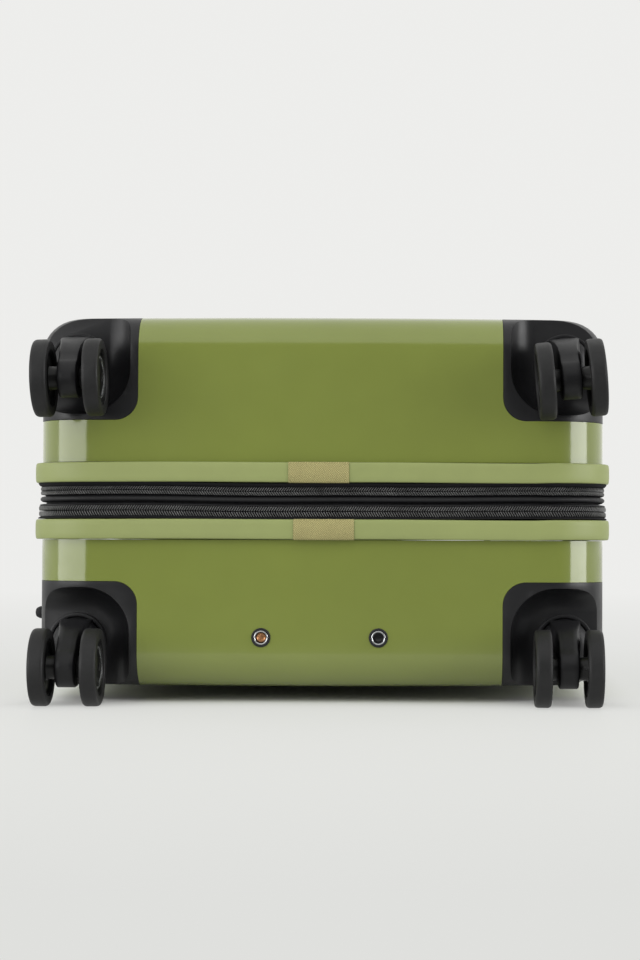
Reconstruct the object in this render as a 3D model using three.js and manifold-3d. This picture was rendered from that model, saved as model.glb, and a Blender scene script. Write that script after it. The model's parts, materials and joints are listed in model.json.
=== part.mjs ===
// A hard shell suitcase on four twin-wheel casters, lying on its back.
// Millimetres, +Z up. The wheel end faces -Y, the hinge side is -X, the lock side is +X.
import * as THREE from 'three';
import { mergeVertices } from 'three/addons/utils/BufferGeometryUtils.js';
import Module from 'manifold-3d';

const wasm = await Module();
wasm.setup();

// ---- the case's overall sizes ----
const bodyWidth = 450;          // across the shells' sides
const bodyLength = 605;         // from end face to end face
const shellDepth = 116.5;       // each shell, from its big face to its rim
const shellWall = 2.5;
const cornerRadius = 44.5;      // the upright corners, seen on the big face
const edgeRadius = 28;          // where the sides turn into the big face
const rimHeight = 16;
const rimProud = 5.5;           // how far a rim stands out from its shell
const rimThickness = 8;
const gap = 0.3;                // between pieces that touch
const overlap = 1;              // how far joined shapes reach into each other

// ---- the zips ----
const zipGap = 29;              // between the two rims
const mainZipHeight = 7.9;      // the main zip's middle, above the case's middle plane
const expansionZipHeight = -8;
const zipProud = 3;             // how far the zips stand out from the shells
const foldInset = 3;            // the band's fold lies this far behind its zips
const foldTop = 4;              // above the case's middle plane
const foldBottom = -3.5;
const zipThickness = 5;
const gussetBelowMainZip = 2;
const gussetInset = 10;         // the folded cloth lies this far inside the shells' sides
const gussetThickness = 2;
const hingeLength = 400;
const hingeOffset = 1;          // the lid's hinge line lies this far outside the rims
const hingeThickness = 1.4;
const hingeDrop = 8;            // how far the hinge strip reaches below the main zip

// ---- the casters ----
const wheelRadius = 30;
const treadWidth = 12.5;
const wheelPairWidth = 52;
const casterFromSide = 32;      // the swivel axis to the shell's side
const casterFromFace = 35.5;    // the swivel axis to the big face
const casterTrail = 17.5;       // the axle lies this far below the swivel axis
const wheelBite = 3;            // how far the wheels reach inside the end face
const axleRadius = 3;
const forkWidth = 15;
const forkBoss = 15.5;          // the fork's round end, about the axle
const forkRoot = 4;             // how far the fork's arm reaches into its dome
const domeRadius = 19;
const domeHeight = 6;           // the dome's flat back to its crown's edge
const socketFit = 0.6;          // between the dome and the ring round it
const socketWidth = 4;          // the ring round the fork's dome
const socketHeight = 3;
const pinRadius = 5;
const pinLength = 11;
const runningFit = 0.2;         // between a turning piece and what it turns on
const lidCasterTurns = { left: -1.4, right: -4.8 };   // degrees, how the two upper casters happen to stand

// ---- the corner housings ----
const housingLength = 62;
const housingRound = 18;
const housingWall = 3;
const housingLipInside = 5.9;   // flat lip beside the scoop, towards the case's middle
const housingLipAbove = 4.4;    // flat lip beside the scoop, towards the rim
const scoopDepth = 22;
const scoopFloor = 24.5;        // the scoop's flat floor, from the swivel axis to its edge
const scoopFloorRound = 16.5;
const scoopWheelClearance = 3.5; // round the circle that the wheels sweep

// ---- the trolley handle ----
const tubeSpacing = 92;
const tubeFromFace = 40;        // the tubes' middle line to the back face
const outerTube = { wide: 22, deep: 14, wall: 1.2 };
const middleWall = 1;
const tubeFit = 0.3;
const tubeStart = 9;            // the tubes' foot plate to the wheel-end face
const footPlateThickness = 4;
const footPlateOverhang = 3;     // round the tubes
const bezelWidth = 184;
const bezelHeight = 38;
const bezelDepth = 30;
const bezelWall = 3;
const bezelProud = 1.2;
const gripWidth = 166;
const gripThickness = 21;
const gripDepth = 20;
const gripBelowFace = 1;
const buttonWidth = 34;
const buttonHeight = 10;
const buttonDepth = 6;
const buttonProud = 1.5;
const buttonFit = 0.4;

// ---- the tube ends seen on the wheel-end face ----
const ringRadius = 7.5;
const ringBore = 4.35;
const ringProud = 1;
const ringLength = 5;
const screwHeadRadius = 3.9;

// ---- the carry handles ----
const carryLength = 150;
const carryWidth = 24;
const carryThickness = 8;
const carryProud = 16;
const carryLift = 20;
const stemLength = 9;
const stemFit = 0.8;            // round the handles' stems where they pass through
const stemFootThickness = 3;
const stemFootOverhang = 2.5;
const baseThickness = 3;
const baseMargin = 7;
const topHandleFromFace = 92;
const sideHandleFromFace = 70;

// ---- small pieces on the sides ----
const footRadius = 5;
const footHeight = 9.5;
const footFromFace = 57;
const footFromEnd = 65;
const footStudRadius = 2.5;
const lockLength = 84;
const lockHeight = 24;
const lockFromFace = 96;
const lockProud = 4;
const lockDepth = 6;
const dialRadius = 7;
const dialWidth = 4;
const dialSpacing = 9;
const dialsFromMiddle = -14;
const dialFit = 0.4;
const lockButtonFromMiddle = 24;
const lockButtonSize = { long: 18, high: 12, round: 3 };
const lockButtonProud = 1.8;
const lockButtonFit = 0.4;
const sliderLength = 12;
const sliderHeight = 5;
const sliderThickness = 3;
const tabLength = 30;
const tabWidth = 7;
const tabThickness = 1.8;
const mainSliderFromMiddle = 16;
const expansionSliderFromMiddle = 150;

// ---- the linings and what they hold ----
const liningInset = 4.5;
const liningWall = 1.5;
const liningClearance = 2;
const liningBelowRim = 2;
const dividerThickness = 2;
const dividerClearance = 2;     // to the rims
const strapWidth = 32;
const strapThickness = 2;
const strapDrop = 18;           // the crossed straps lie this far below the back shell's rim
const buckleLength = 58;
const buckleWidth = 44;
const buckleThickness = 8;

// ---- the webbing over the rims' joints ----
const tapeWidth = 47.5;
const tapeThickness = 1.2;

// ---- places that follow from those ----
const halfWidth = bodyWidth / 2;
const halfLength = bodyLength / 2;
const axleReach = wheelRadius - wheelBite;     // the axle lies this far outside the end face
const backFace = wheelRadius + casterTrail - casterFromFace;
const halfDepth = shellDepth + rimHeight + zipGap / 2;
const middle = backFace + halfDepth;
const frontFace = backFace + 2 * halfDepth;
const casterX = halfWidth - casterFromSide;
const wheelSweep = Math.hypot(casterTrail + Math.sqrt(wheelRadius ** 2 - axleReach ** 2), wheelPairWidth / 2);
const scoopReach = wheelSweep + scoopWheelClearance;
const housingWidth = casterFromSide + scoopReach + housingLipInside;
const housingHeight = casterFromFace + scoopReach + housingLipAbove;
const rimHalfWidth = halfWidth + rimProud;
const hingeX = -(rimHalfWidth + hingeOffset);
const lengthShift = (axleReach + wheelRadius - carryProud) / 2;

// ---- finishes ----
const finish = (color, roughness, metalness = 0) =>
  new THREE.MeshStandardMaterial({ color, roughness, metalness });
const finishes = {
  shell: finish(0x7b8548, 0.25),
  rim: finish(0x8f9a5e, 0.6),
  webbing: finish(0x9d9765, 0.9),
  zip: finish(0x232328, 0.7),
  cloth: finish(0x2a2a2e, 0.85),
  lining: finish(0x55574a, 0.9),
  plastic: finish(0x232326, 0.5),
  glossPlastic: finish(0x1b1b1e, 0.3),
  wheel: finish(0x2b2b2e, 0.45),
  rubber: finish(0x1e1e20, 0.8),
  steel: finish(0xb4b6b8, 0.3, 1),
  aluminium: finish(0xc2c4c6, 0.4, 1),
  copper: finish(0xb0714a, 0.35, 1),
};

// ---- shapes ----

// A manifold solid from a three.js geometry, with its faces pointing out.
function solid(geometry) {
  const bare = geometry.clone();
  bare.deleteAttribute('normal');
  bare.deleteAttribute('uv');
  const merged = mergeVertices(bare, 1e-4);
  const spot = (i) => new THREE.Vector3().fromBufferAttribute(merged.attributes.position, i);
  const faces = [];
  let volume = 0;
  for (let i = 0; i < merged.index.count; i += 3) {
    const [a, b, c] = merged.index.array.slice(i, i + 3);
    if (a === b || b === c || c === a) continue;
    faces.push([a, b, c]);
    volume += spot(a).dot(spot(b).cross(spot(c)));
  }
  const outward = volume < 0 ? faces.map(([a, b, c]) => [a, c, b]) : faces;
  const vertProperties = new Float32Array(merged.attributes.position.array);
  const triVerts = new Uint32Array(outward.flat());
  return new wasm.Manifold(new wasm.Mesh({ numProp: 3, vertProperties, triVerts }));
}

function geometryOf(piece) {
  const { vertProperties, triVerts } = piece.getMesh();
  const geometry = new THREE.BufferGeometry();
  geometry.setAttribute('position', new THREE.BufferAttribute(vertProperties, 3));
  geometry.setIndex(new THREE.BufferAttribute(triVerts, 1));
  geometry.computeVertexNormals();
  return geometry;
}

const join = (first, ...others) => others.reduce((all, one) => all.add(solid(one)), solid(first));
const cut = (piece, ...tools) => tools.reduce((left, tool) => left.subtract(solid(tool)), piece);

const axisBases = {
  x: [[0, 1, 0], [0, 0, 1], [1, 0, 0]],
  y: [[1, 0, 0], [0, 0, 1], [0, -1, 0]],
  z: [[1, 0, 0], [0, 1, 0], [0, 0, 1]],
};

// An outline pulled straight along an axis. Along x it is drawn in (y, z), along y in (x, z).
function prism(axis, shape, from, to, curveSegments = 4) {
  const depth = to - from;
  const geometry = new THREE.ExtrudeGeometry(shape, { depth, bevelEnabled: false, curveSegments });
  const columns = axisBases[axis].map((column) => new THREE.Vector3(...column));
  geometry.applyMatrix4(new THREE.Matrix4().makeBasis(...columns));
  const start = { x: [from, 0, 0], y: [0, to, 0], z: [0, 0, from] }[axis];
  return geometry.translate(...start);
}

// A profile of [radius, height] points turned round an axis, with height along that axis.
function turned(axis, profile, segments = 24) {
  const points = profile.map(([radius, height]) => new THREE.Vector2(radius, height));
  const geometry = new THREE.LatheGeometry(points, segments);
  if (axis === 'x') geometry.rotateZ(-Math.PI / 2);
  if (axis === 'z') geometry.rotateX(Math.PI / 2);
  return geometry;
}

const rod = (axis, radius, from, to, segments = 24) =>
  turned(axis, [[0, from], [radius, from], [radius, to], [0, to]], segments);

function box(x, y, z) {
  const geometry = new THREE.BoxGeometry(x[1] - x[0], y[1] - y[0], z[1] - z[0]);
  return geometry.translate((x[0] + x[1]) / 2, (y[0] + y[1]) / 2, (z[0] + z[1]) / 2);
}

// A rectangle with round corners, about a centre.
function roundRectangle(halfU, halfV, radius, u = 0, v = 0) {
  const shape = new THREE.Shape();
  const [right, top] = [halfU - radius, halfV - radius];
  shape.absarc(u + right, v - top, radius, -Math.PI / 2, 0);
  shape.absarc(u + right, v + top, radius, 0, Math.PI / 2);
  shape.absarc(u - right, v + top, radius, Math.PI / 2, Math.PI);
  shape.absarc(u - right, v - top, radius, Math.PI, Math.PI * 1.5);
  return shape;
}

// The case's outline on the big face, grown or shrunk by an offset.
const outline = (offset) =>
  roundRectangle(halfWidth + offset, halfLength + offset, cornerRadius + offset);

// A flat ring that follows the case's outline, between two offsets and two heights.
function ring(outer, inner, from, to) {
  const shape = outline(outer);
  shape.holes.push(outline(inner));
  return prism('z', shape, from, to);
}

// A block with the case's outline and round edges, inset all round, its face at height inset.
function caseBlock(inset, height, roundSteps = 4) {
  const round = edgeRadius - inset;
  const geometry = new THREE.ExtrudeGeometry(outline(-inset - round), {
    depth: height, bevelThickness: round, bevelSize: round,
    bevelSegments: roundSteps, curveSegments: roundSteps,
  });
  return geometry.translate(0, 0, inset + round);
}

// ---- each half of the case is drawn with its big face at height 0 and its rim above ----

const placeIn = {
  back: (geometry) => geometry.translate(0, 0, backFace),
  front: (geometry) => geometry.rotateY(Math.PI).translate(0, 0, frontFace),
};
const wide = bodyLength;        // longer than anything it cuts
const below = (height) => box([-wide, wide], [-wide, wide], [-wide, height]);

// The space of one corner housing: three outlines with a round inner corner each, crossed.
function cornerSpace(side, grow) {
  const reach = 2 * housingRound;
  const across = (housingWidth + reach) / 2 + grow;
  const up = (housingHeight + reach) / 2 + grow;
  const along = (housingLength + reach) / 2 + grow;
  const x = side * (halfWidth + reach - across + grow);
  const y = -(halfLength + reach - along + grow);
  const z = -reach + up - grow;
  const round = housingRound + grow;
  const seenFromEnd = prism('y', roundRectangle(across, up, round, x, z), y - along, y + along);
  const seenFromSide = prism('x', roundRectangle(along, up, round, y, z), x - across, x + across);
  const seenFromAbove = prism('z', roundRectangle(across, along, round, x, y), z - up, z + up);
  return solid(seenFromEnd).intersect(solid(seenFromSide)).intersect(solid(seenFromAbove));
}

// A tray with the case's outline, from one inset to another, cut flat below a height.
const tray = (outer, inner, height) =>
  solid(caseBlock(outer, shellDepth)).subtract(solid(caseBlock(inner, shellDepth)))
    .intersect(solid(below(height)));

function bezelOutline(margin) {
  return roundRectangle(bezelWidth / 2 + margin, bezelHeight / 2 + margin, 8, 0, bezelMiddle);
}
const bezelMiddle = tubeFromFace + 3;

// The holes that the carry handles' stems pass through, for a handle lying along x.
const stemX = carryLength / 2 - stemLength / 2;
const stemSlots = (from, to, margin) => [-1, 1].map((side) => {
  const reach = stemLength / 2 + margin;
  return box([side * stemX - reach, side * stemX + reach], [from, to],
    [-carryWidth / 4 - margin, carryWidth / 4 + margin]);
});

// Moves what is drawn along x, facing +y, to where the two carry handles are.
const toTop = (geometry) => geometry.translate(0, halfLength, topHandleFromFace);
const toSide = (geometry) =>
  geometry.rotateZ(-Math.PI / 2).translate(halfWidth, 0, sideHandleFromFace);

function lockSpace(margin, depth) {
  const shape = roundRectangle(lockLength / 2 + margin, lockHeight / 2 + margin, 5, 0, lockFromFace);
  return prism('x', shape, -halfWidth - lockProud - overlap, -halfWidth + depth);
}

function backShell() {
  let shell = tray(0, shellWall, shellDepth);
  for (const side of [-1, 1]) {
    shell = shell.subtract(cornerSpace(side, gap));
    const x = side * tubeSpacing / 2;
    shell = cut(shell, rod('y', ringRadius - 1.5 + gap, -halfLength - 10, -halfLength + 10, 16)
      .translate(x, 0, tubeFromFace));
    shell = cut(shell, rod('x', footStudRadius + gap, -halfWidth - 10, -halfWidth + 10, 12)
      .translate(0, side * (halfLength - footFromEnd), footFromFace));
  }
  const bezelHole = prism('y', bezelOutline(gap), halfLength - 10, halfLength + 10);
  const slots = (move) => stemSlots(-10, 10, stemFit).map(move);
  return cut(shell, bezelHole, ...slots(toTop), ...slots(toSide));
}

function frontShell() {
  let shell = tray(0, shellWall, shellDepth);
  for (const side of [-1, 1]) shell = shell.subtract(cornerSpace(side, gap));
  return cut(shell, lockSpace(gap, lockDepth + 1));
}

// A corner housing's scoop, drawn along y from the swivel axis: a bowl with a flat floor, round at
// its inner upper corner and open towards the case's side and big face.
function scoop(side, grow) {
  const spread = scoopReach - scoopFloor;
  const half = (scoopFloor + grow + wide) / 2;
  const u = side * (half - scoopFloor - grow);
  const v = scoopFloor + grow - half;
  const geometry = new THREE.ExtrudeGeometry(roundRectangle(half, half, scoopFloorRound + grow, u, v), {
    depth: wide, bevelThickness: scoopDepth, bevelSize: spread, bevelSegments: 4, curveSegments: 4,
  });
  // The bevel at the far end is the bowl: turned so that its floor lies inside the end face.
  geometry.translate(0, 0, -wide);
  return geometry.rotateX(-Math.PI / 2).scale(1, 1, -1).translate(0, grow, 0);
}

// A corner housing: a skin flush with the shells, and the cup that a caster swivels in.
function housing(side) {
  const place = (geometry) => geometry.translate(side * casterX, -halfLength, casterFromFace);
  const block = solid(caseBlock(0, shellDepth));
  const skin = block.subtract(solid(caseBlock(housingWall, shellDepth)));
  const cup = solid(place(scoop(side, housingWall))).intersect(block);
  const ringOuter = domeRadius + socketWidth;
  const ringInner = domeRadius + socketFit;
  const ringFront = scoopDepth - socketHeight;
  const ringBack = scoopDepth + overlap;
  const socket = place(turned('y', [[ringInner, ringFront], [ringOuter, ringFront], [ringOuter, ringBack],
    [ringInner, ringBack], [ringInner, ringFront]], 20));
  const bore = place(rod('y', pinRadius + runningFit, -wheelPairWidth, scoopDepth + 2 * housingWall, 12));
  const body = cut(skin.add(cup), place(scoop(side, 0))).add(solid(socket));
  return cut(body.intersect(cornerSpace(side, 0)).intersect(block), bore);
}

// What the linings go round: the housings' cups, the trolley tubes, the bezel and the handles.
function liningSpace(half, inset) {
  let space = solid(caseBlock(liningInset + inset, shellDepth, 2));
  for (const side of [-1, 1]) space = space.subtract(cornerSpace(side, liningClearance + inset));
  const grow = liningClearance + inset;
  const channelX = tubeSpacing / 2 + outerTube.wide / 2 + footPlateOverhang + grow;
  const channelTop = tubeFromFace + outerTube.deep / 2 + footPlateOverhang + grow;
  const channel = box([-channelX, channelX], [-wide, wide], [-overlap, channelTop]);
  const bezelX = bezelWidth / 2 + grow;
  const bezelBox = box([-bezelX, bezelX], [halfLength - bezelDepth - grow, wide],
    [-overlap, bezelMiddle + bezelHeight / 2 + grow]);
  const handleX = carryLength / 2 + baseMargin + grow;
  const handleBox = () => box([-handleX, handleX], [-carryLift - 10 - grow, 20],
    [-carryWidth / 2 - grow, carryWidth / 2 + grow]);
  const lockX = lockLength / 2 + grow;
  const lockBox = box([-wide, -halfWidth + lockDepth + 5 + grow], [-lockX, lockX],
    [lockFromFace - lockHeight / 2 - grow, lockFromFace + lockHeight / 2 + grow]);
  const inTheWay = half === 'back' ? [channel, bezelBox, toTop(handleBox()), toSide(handleBox())] : [lockBox];
  return cut(space, ...inTheWay);
}

const lining = (half) => liningSpace(half, 0).subtract(liningSpace(half, liningWall))
  .intersect(solid(below(shellDepth - liningBelowRim)));

// ---- the zip band carries a half of each zip and the fold between them ----

function zipBand() {
  const top = middle + mainZipHeight - gap / 2;
  const bottom = middle + expansionZipHeight + gap / 2;
  const whole = ring(zipProud, zipProud - zipThickness - foldInset, bottom, top);
  const groove = ring(zipProud + overlap, zipProud - foldInset, middle + foldBottom, middle + foldTop);
  return cut(solid(whole), groove);
}

const zipHalf = (from, to) => ring(zipProud, zipProud - zipThickness, from, to);

function hingeStrip() {
  const outside = hingeX + 0.7;
  return box([outside, outside + hingeThickness], [-hingeLength / 2, hingeLength / 2],
    [middle + mainZipHeight - hingeDrop, middle + mainZipHeight - gap]);
}

// A rim's webbing at the wheel end, flat against the rim.
function jointTape(x, bottom) {
  const y = -halfLength - rimProud - gap;
  return box([x - tapeWidth / 2, x + tapeWidth / 2], [y - tapeThickness, y], [bottom, bottom + rimHeight]);
}

// ---- casters, about the swivel axis where it crosses the end face ----

function fork() {
  const front = scoopDepth - domeHeight;
  const dome = turned('y', [[0, scoopDepth - gap], [domeRadius, scoopDepth - gap], [domeRadius, front],
    [domeRadius - 5, front - 6], [0, front - 8]], 20);
  const root = scoopDepth - forkRoot;
  const bossStart = Math.PI * 0.62;
  const bossY = -axleReach + forkBoss * Math.cos(bossStart);
  const bossZ = -casterTrail + forkBoss * Math.sin(bossStart);
  const arm = new THREE.Shape();
  arm.moveTo(root, domeRadius - 1);
  arm.quadraticCurveTo(-16, domeRadius - 1, bossY, bossZ);
  arm.absarc(-axleReach, -casterTrail, forkBoss, bossStart, Math.PI * 1.5);
  arm.quadraticCurveTo(2, -casterTrail - forkBoss, root, -domeRadius + 2);
  const blade = prism('x', arm, -forkWidth / 2, forkWidth / 2, 6);
  const pin = rod('y', pinRadius, scoopDepth - 2, scoopDepth + pinLength, 12);
  const bore = rod('x', axleRadius + runningFit, -wheelPairWidth, wheelPairWidth, 12);
  return cut(join(dome, blade, pin), bore.translate(0, -axleReach, -casterTrail));
}

function wheel(side) {
  const outside = wheelPairWidth / 2;
  const inside = outside - treadWidth;
  const bore = axleRadius + runningFit;
  const hub = forkWidth / 2 + gap;
  const profile = [[bore, hub], [9, hub], [9, inside + 1.5], [wheelRadius - 3, inside],
    [wheelRadius, inside + 3], [wheelRadius, outside - 3], [wheelRadius - 3, outside],
    [bore, outside - 1.5]];
  const closed = [...profile, profile[0]].map(([radius, along]) => [radius, side * along]);
  return turned('x', closed, 20).translate(0, -axleReach, -casterTrail);
}

function axle() {
  const reach = wheelPairWidth / 2 - 2;
  return rod('x', axleRadius, -reach, reach, 12).translate(0, -axleReach, -casterTrail);
}

// ---- the trolley handle ----

function tubeOutline(wide, deep, wall) {
  const shape = roundRectangle(wide / 2, deep / 2, 2);
  if (wall) shape.holes.push(roundRectangle(wide / 2 - wall, deep / 2 - wall, 1));
  return shape;
}
const middleTube = {
  wide: outerTube.wide - 2 * (outerTube.wall + tubeFit),
  deep: outerTube.deep - 2 * (outerTube.wall + tubeFit),
};
const innerTube = {
  wide: middleTube.wide - 2 * (middleWall + tubeFit),
  deep: middleTube.deep - 2 * (middleWall + tubeFit),
};
const tubeFoot = -halfLength + tubeStart + footPlateThickness;
const bezelFloor = halfLength - bezelDepth;
const tubeTop = bezelFloor + bezelWall + 2;
const atTube = (side, geometry) => geometry.translate(side * tubeSpacing / 2, 0, tubeFromFace);

function trolleyFrame() {
  const { wide, deep, wall } = outerTube;
  const tubes = [-1, 1].map((side) => atTube(side,
    prism('y', tubeOutline(wide, deep, wall), tubeFoot - overlap, bezelFloor - gap, 2)));
  const half = tubeSpacing / 2 + wide / 2 + footPlateOverhang;
  const plate = box([-half, half], [tubeFoot - footPlateThickness, tubeFoot],
    [tubeFromFace - deep / 2 - footPlateOverhang, tubeFromFace + deep / 2 + footPlateOverhang]);
  return join(plate, ...tubes);
}

const middleTubePiece = (side) => atTube(side,
  prism('y', tubeOutline(middleTube.wide, middleTube.deep, middleWall), tubeFoot + 4, tubeTop, 2));

function bezel() {
  const flange = prism('y', bezelOutline(4), halfLength + gap, halfLength + bezelProud + gap);
  const body = prism('y', bezelOutline(0), bezelFloor, halfLength + bezelProud);
  const pocket = prism('y', bezelOutline(-bezelWall), bezelFloor + bezelWall, halfLength + 10);
  const holes = [-1, 1].map((side) => atTube(side, prism('y',
    tubeOutline(middleTube.wide + 2 * tubeFit, middleTube.deep + 2 * tubeFit, 0),
    bezelFloor - 5, bezelFloor + 10, 2)));
  return cut(join(body, flange), pocket, ...holes);
}

const gripTop = halfLength - gripBelowFace;
const gripMiddle = tubeFromFace;
const buttonOutline = (margin) =>
  roundRectangle(buttonWidth / 2 + margin, buttonHeight / 2 + margin, 4, 0, gripMiddle);

function trolleyGrip() {
  const section = roundRectangle(gripDepth / 2, gripThickness / 2, 6, gripTop - gripDepth / 2, gripMiddle);
  const bar = prism('x', section, -gripWidth / 2, gripWidth / 2);
  const tubes = [-1, 1].map((side) => atTube(side, prism('y',
    tubeOutline(innerTube.wide, innerTube.deep, 0), tubeFoot + 8, gripTop - 4, 2)));
  const socket = prism('y', buttonOutline(buttonFit), gripTop - buttonDepth - 3.5, gripTop + 10);
  return cut(join(bar, ...tubes), socket);
}

const gripButton = () => prism('y', buttonOutline(0), gripTop - buttonDepth, gripTop + buttonProud);

// ---- the tube ends on the wheel-end face ----

function tubeEndRing(side) {
  const neck = ringRadius - 1.5;
  const profile = [[ringBore, -ringProud - gap], [ringRadius, -ringProud - gap], [ringRadius, -gap],
    [neck, -gap], [neck, ringLength], [ringBore, ringLength], [ringBore, -ringProud - gap]];
  return turned('y', profile, 16).translate(side * tubeSpacing / 2, -halfLength, tubeFromFace);
}

function tubeEndScrew() {
  const profile = [[0, 1.5], [2.4, 1.6], [screwHeadRadius, 2.6], [screwHeadRadius, 4],
    [2, 4], [2, tubeStart - gap], [0, tubeStart - gap]];
  return turned('y', profile, 14).translate(-tubeSpacing / 2, -halfLength, tubeFromFace);
}

// ---- carry handles, drawn along x with the shell's face at y = 0 ----

function carryHandle() {
  const outer = carryProud;
  const section = roundRectangle(carryThickness / 2, carryWidth / 2, 3.9, outer - carryThickness / 2, 0);
  const bar = prism('x', section, -carryLength / 2, carryLength / 2);
  const foot = -carryLift - shellWall - stemFootThickness - stemFit;
  const stems = stemSlots(foot, outer - carryThickness / 2, 0);
  const feet = [-1, 1].map((side) => {
    const reach = stemLength / 2 + stemFootOverhang;
    return box([side * stemX - reach, side * stemX + reach], [foot, foot + stemFootThickness],
      [-carryWidth / 4, carryWidth / 4]);
  });
  return join(bar, ...stems, ...feet);
}

function carryBase() {
  const shape = roundRectangle(carryLength / 2 + baseMargin, carryWidth / 2 + 2, 8);
  const plate = prism('y', shape, gap, baseThickness);
  return cut(solid(plate), ...stemSlots(-10, 10, stemFit));
}

// ---- small pieces ----

function sideFoot(end) {
  const profile = [[0, -shellWall], [footStudRadius, -shellWall], [footStudRadius, gap], [footRadius, gap],
    [footRadius, footHeight - 3.5], [footRadius - 1.5, footHeight - 1], [0, footHeight]];
  return turned('x', profile, 14).rotateZ(Math.PI)
    .translate(-halfWidth, end * (halfLength - footFromEnd), footFromFace);
}

const dialPlaces = [-1, 0, 1].map((step) => step * dialSpacing + dialsFromMiddle);
const lockOuter = -halfWidth - lockProud;
const dialX = lockOuter - 2 + dialRadius;
const lockButtonOutline = (margin) => roundRectangle(
  lockButtonSize.long / 2 + margin, lockButtonSize.high / 2 + margin,
  lockButtonSize.round + margin, lockButtonFromMiddle, lockFromFace);

function lockBody() {
  const slotHalf = dialWidth / 2 + dialFit;
  const slots = dialPlaces.map((y) => rod('y', dialRadius + dialFit, -slotHalf, slotHalf, 16)
    .translate(dialX, y, lockFromFace));
  const shape = roundRectangle(lockLength / 2, lockHeight / 2, 5, 0, lockFromFace);
  const buttonHole = prism('x', lockButtonOutline(lockButtonFit), -wide, 0);
  return cut(solid(prism('x', shape, lockOuter, -halfWidth + lockDepth)), ...slots, buttonHole);
}

const lockDial = (y) =>
  rod('y', dialRadius, -dialWidth / 2, dialWidth / 2, 16).translate(dialX, y, lockFromFace);
const lockButton = () =>
  prism('x', lockButtonOutline(0), lockOuter - lockButtonProud, -halfWidth + lockDepth / 2);

// A zip's slider with its pull tab hanging, drawn on the +x side at height 0 for its zip's middle.
function zipSlider() {
  const back = zipProud + 0.5;
  const body = box([back, back + sliderThickness], [-sliderLength / 2, sliderLength / 2],
    [-sliderHeight / 2, sliderHeight / 2]);
  const tabX = rimProud + 1;
  const tab = box([tabX, tabX + tabThickness], [-tabWidth / 2, tabWidth / 2],
    [-tabLength, sliderHeight / 2 - 0.5]);
  const neck = box([back + 1, tabX + 1], [-1.5, 1.5], [-2, 1.5]);
  return join(body, neck, tab);
}

const onSide = (geometry, y, height) => geometry.translate(halfWidth, y, middle + height);
const onTop = (geometry, x, height) =>
  geometry.rotateZ(Math.PI / 2).translate(x, halfLength, middle + height);

// ---- soft pieces inside ----

const mouthInset = rimThickness - rimProud;

function divider() {
  const shape = outline(-mouthInset - dividerClearance);
  const bottom = middle + zipGap / 2 + 3;
  return prism('z', shape, bottom, bottom + dividerThickness);
}

const strapHeight = backFace + shellDepth - strapDrop;

function straps() {
  const reachX = halfWidth - liningInset - liningWall - 2;
  const reachY = 170;
  const angle = Math.atan2(reachY, reachX);
  const length = 2 * Math.hypot(reachX, reachY);
  const one = (turn) => box([-length / 2, length / 2], [-strapWidth / 2, strapWidth / 2],
    [strapHeight, strapHeight + strapThickness]).rotateZ(turn);
  const ends = box([-reachX, reachX], [-wide, wide], [-wide, wide]);
  return join(one(angle), one(-angle)).intersect(solid(ends));
}

function buckle() {
  const shape = roundRectangle(buckleLength / 2, buckleWidth / 2, 10);
  const bottom = strapHeight + strapThickness + gap;
  return prism('z', shape, bottom, bottom + buckleThickness);
}

// ---- the assembly ----

const suitcase = new THREE.Group();
suitcase.position.y = lengthShift;

function add(name, shape, material, group = suitcase) {
  const geometry = geometryOf(shape.isBufferGeometry ? solid(shape) : shape);
  const mesh = new THREE.Mesh(geometry, material);
  mesh.name = name;
  group.add(mesh);
}
const addTo = (half, name, shape, material) => {
  const geometry = shape.isBufferGeometry ? shape : geometryOf(shape);
  add(name, placeIn[half](geometry), material);
};

addTo('back', 'back_shell', backShell(), finishes.shell);
addTo('front', 'front_shell', frontShell(), finishes.shell);
const rimInner = rimProud - rimThickness;
for (const half of ['back', 'front']) {
  const rim = ring(rimProud, rimInner, shellDepth + gap, shellDepth + rimHeight);
  addTo(half, `${half}_rim`, rim, finishes.rim);
  addTo(half, `${half}_lining`, lining(half), finishes.lining);
}
add('back_joint_tape', jointTape(3, backFace + shellDepth), finishes.webbing);
add('front_joint_tape', jointTape(-1, frontFace - shellDepth - rimHeight), finishes.webbing);

add('zip_band', zipBand(), finishes.zip);
const rimEdge = zipGap / 2 - gap;
add('main_zip_lid_half', zipHalf(middle + mainZipHeight + gap / 2, middle + rimEdge), finishes.zip);
const backZipTop = middle + expansionZipHeight - gap / 2;
add('expansion_zip_back_half', zipHalf(middle - rimEdge, backZipTop), finishes.zip);
const gussetTop = middle + mainZipHeight - gussetBelowMainZip;
add('expansion_gusset', ring(-gussetInset, -gussetInset - gussetThickness, middle - rimEdge, gussetTop),
  finishes.cloth);
add('hinge_strip', hingeStrip(), finishes.cloth);

// The lid is drawn turned over, so its left housing is drawn on the right.
for (const [name, side] of [['left', -1], ['right', 1]]) {
  addTo('back', `back_${name}_housing`, housing(side), finishes.plastic);
  addTo('front', `front_${name}_housing`, housing(-side), finishes.plastic);
}

for (const half of ['back', 'front']) {
  for (const [name, side] of [['left', -1], ['right', 1]]) {
    const caster = new THREE.Group();
    const height = half === 'back' ? backFace + casterFromFace : frontFace - casterFromFace;
    caster.position.set(side * casterX, -halfLength, height);
    caster.rotation.y = THREE.MathUtils.degToRad(half === 'front' ? lidCasterTurns[name] : 0);
    suitcase.add(caster);
    add(`${half}_${name}_fork`, fork(), finishes.glossPlastic, caster);
    add(`${half}_${name}_axle`, axle(), finishes.steel, caster);
    add(`${half}_${name}_wheel_a`, wheel(-1), finishes.wheel, caster);
    add(`${half}_${name}_wheel_b`, wheel(1), finishes.wheel, caster);
  }
}

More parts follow.
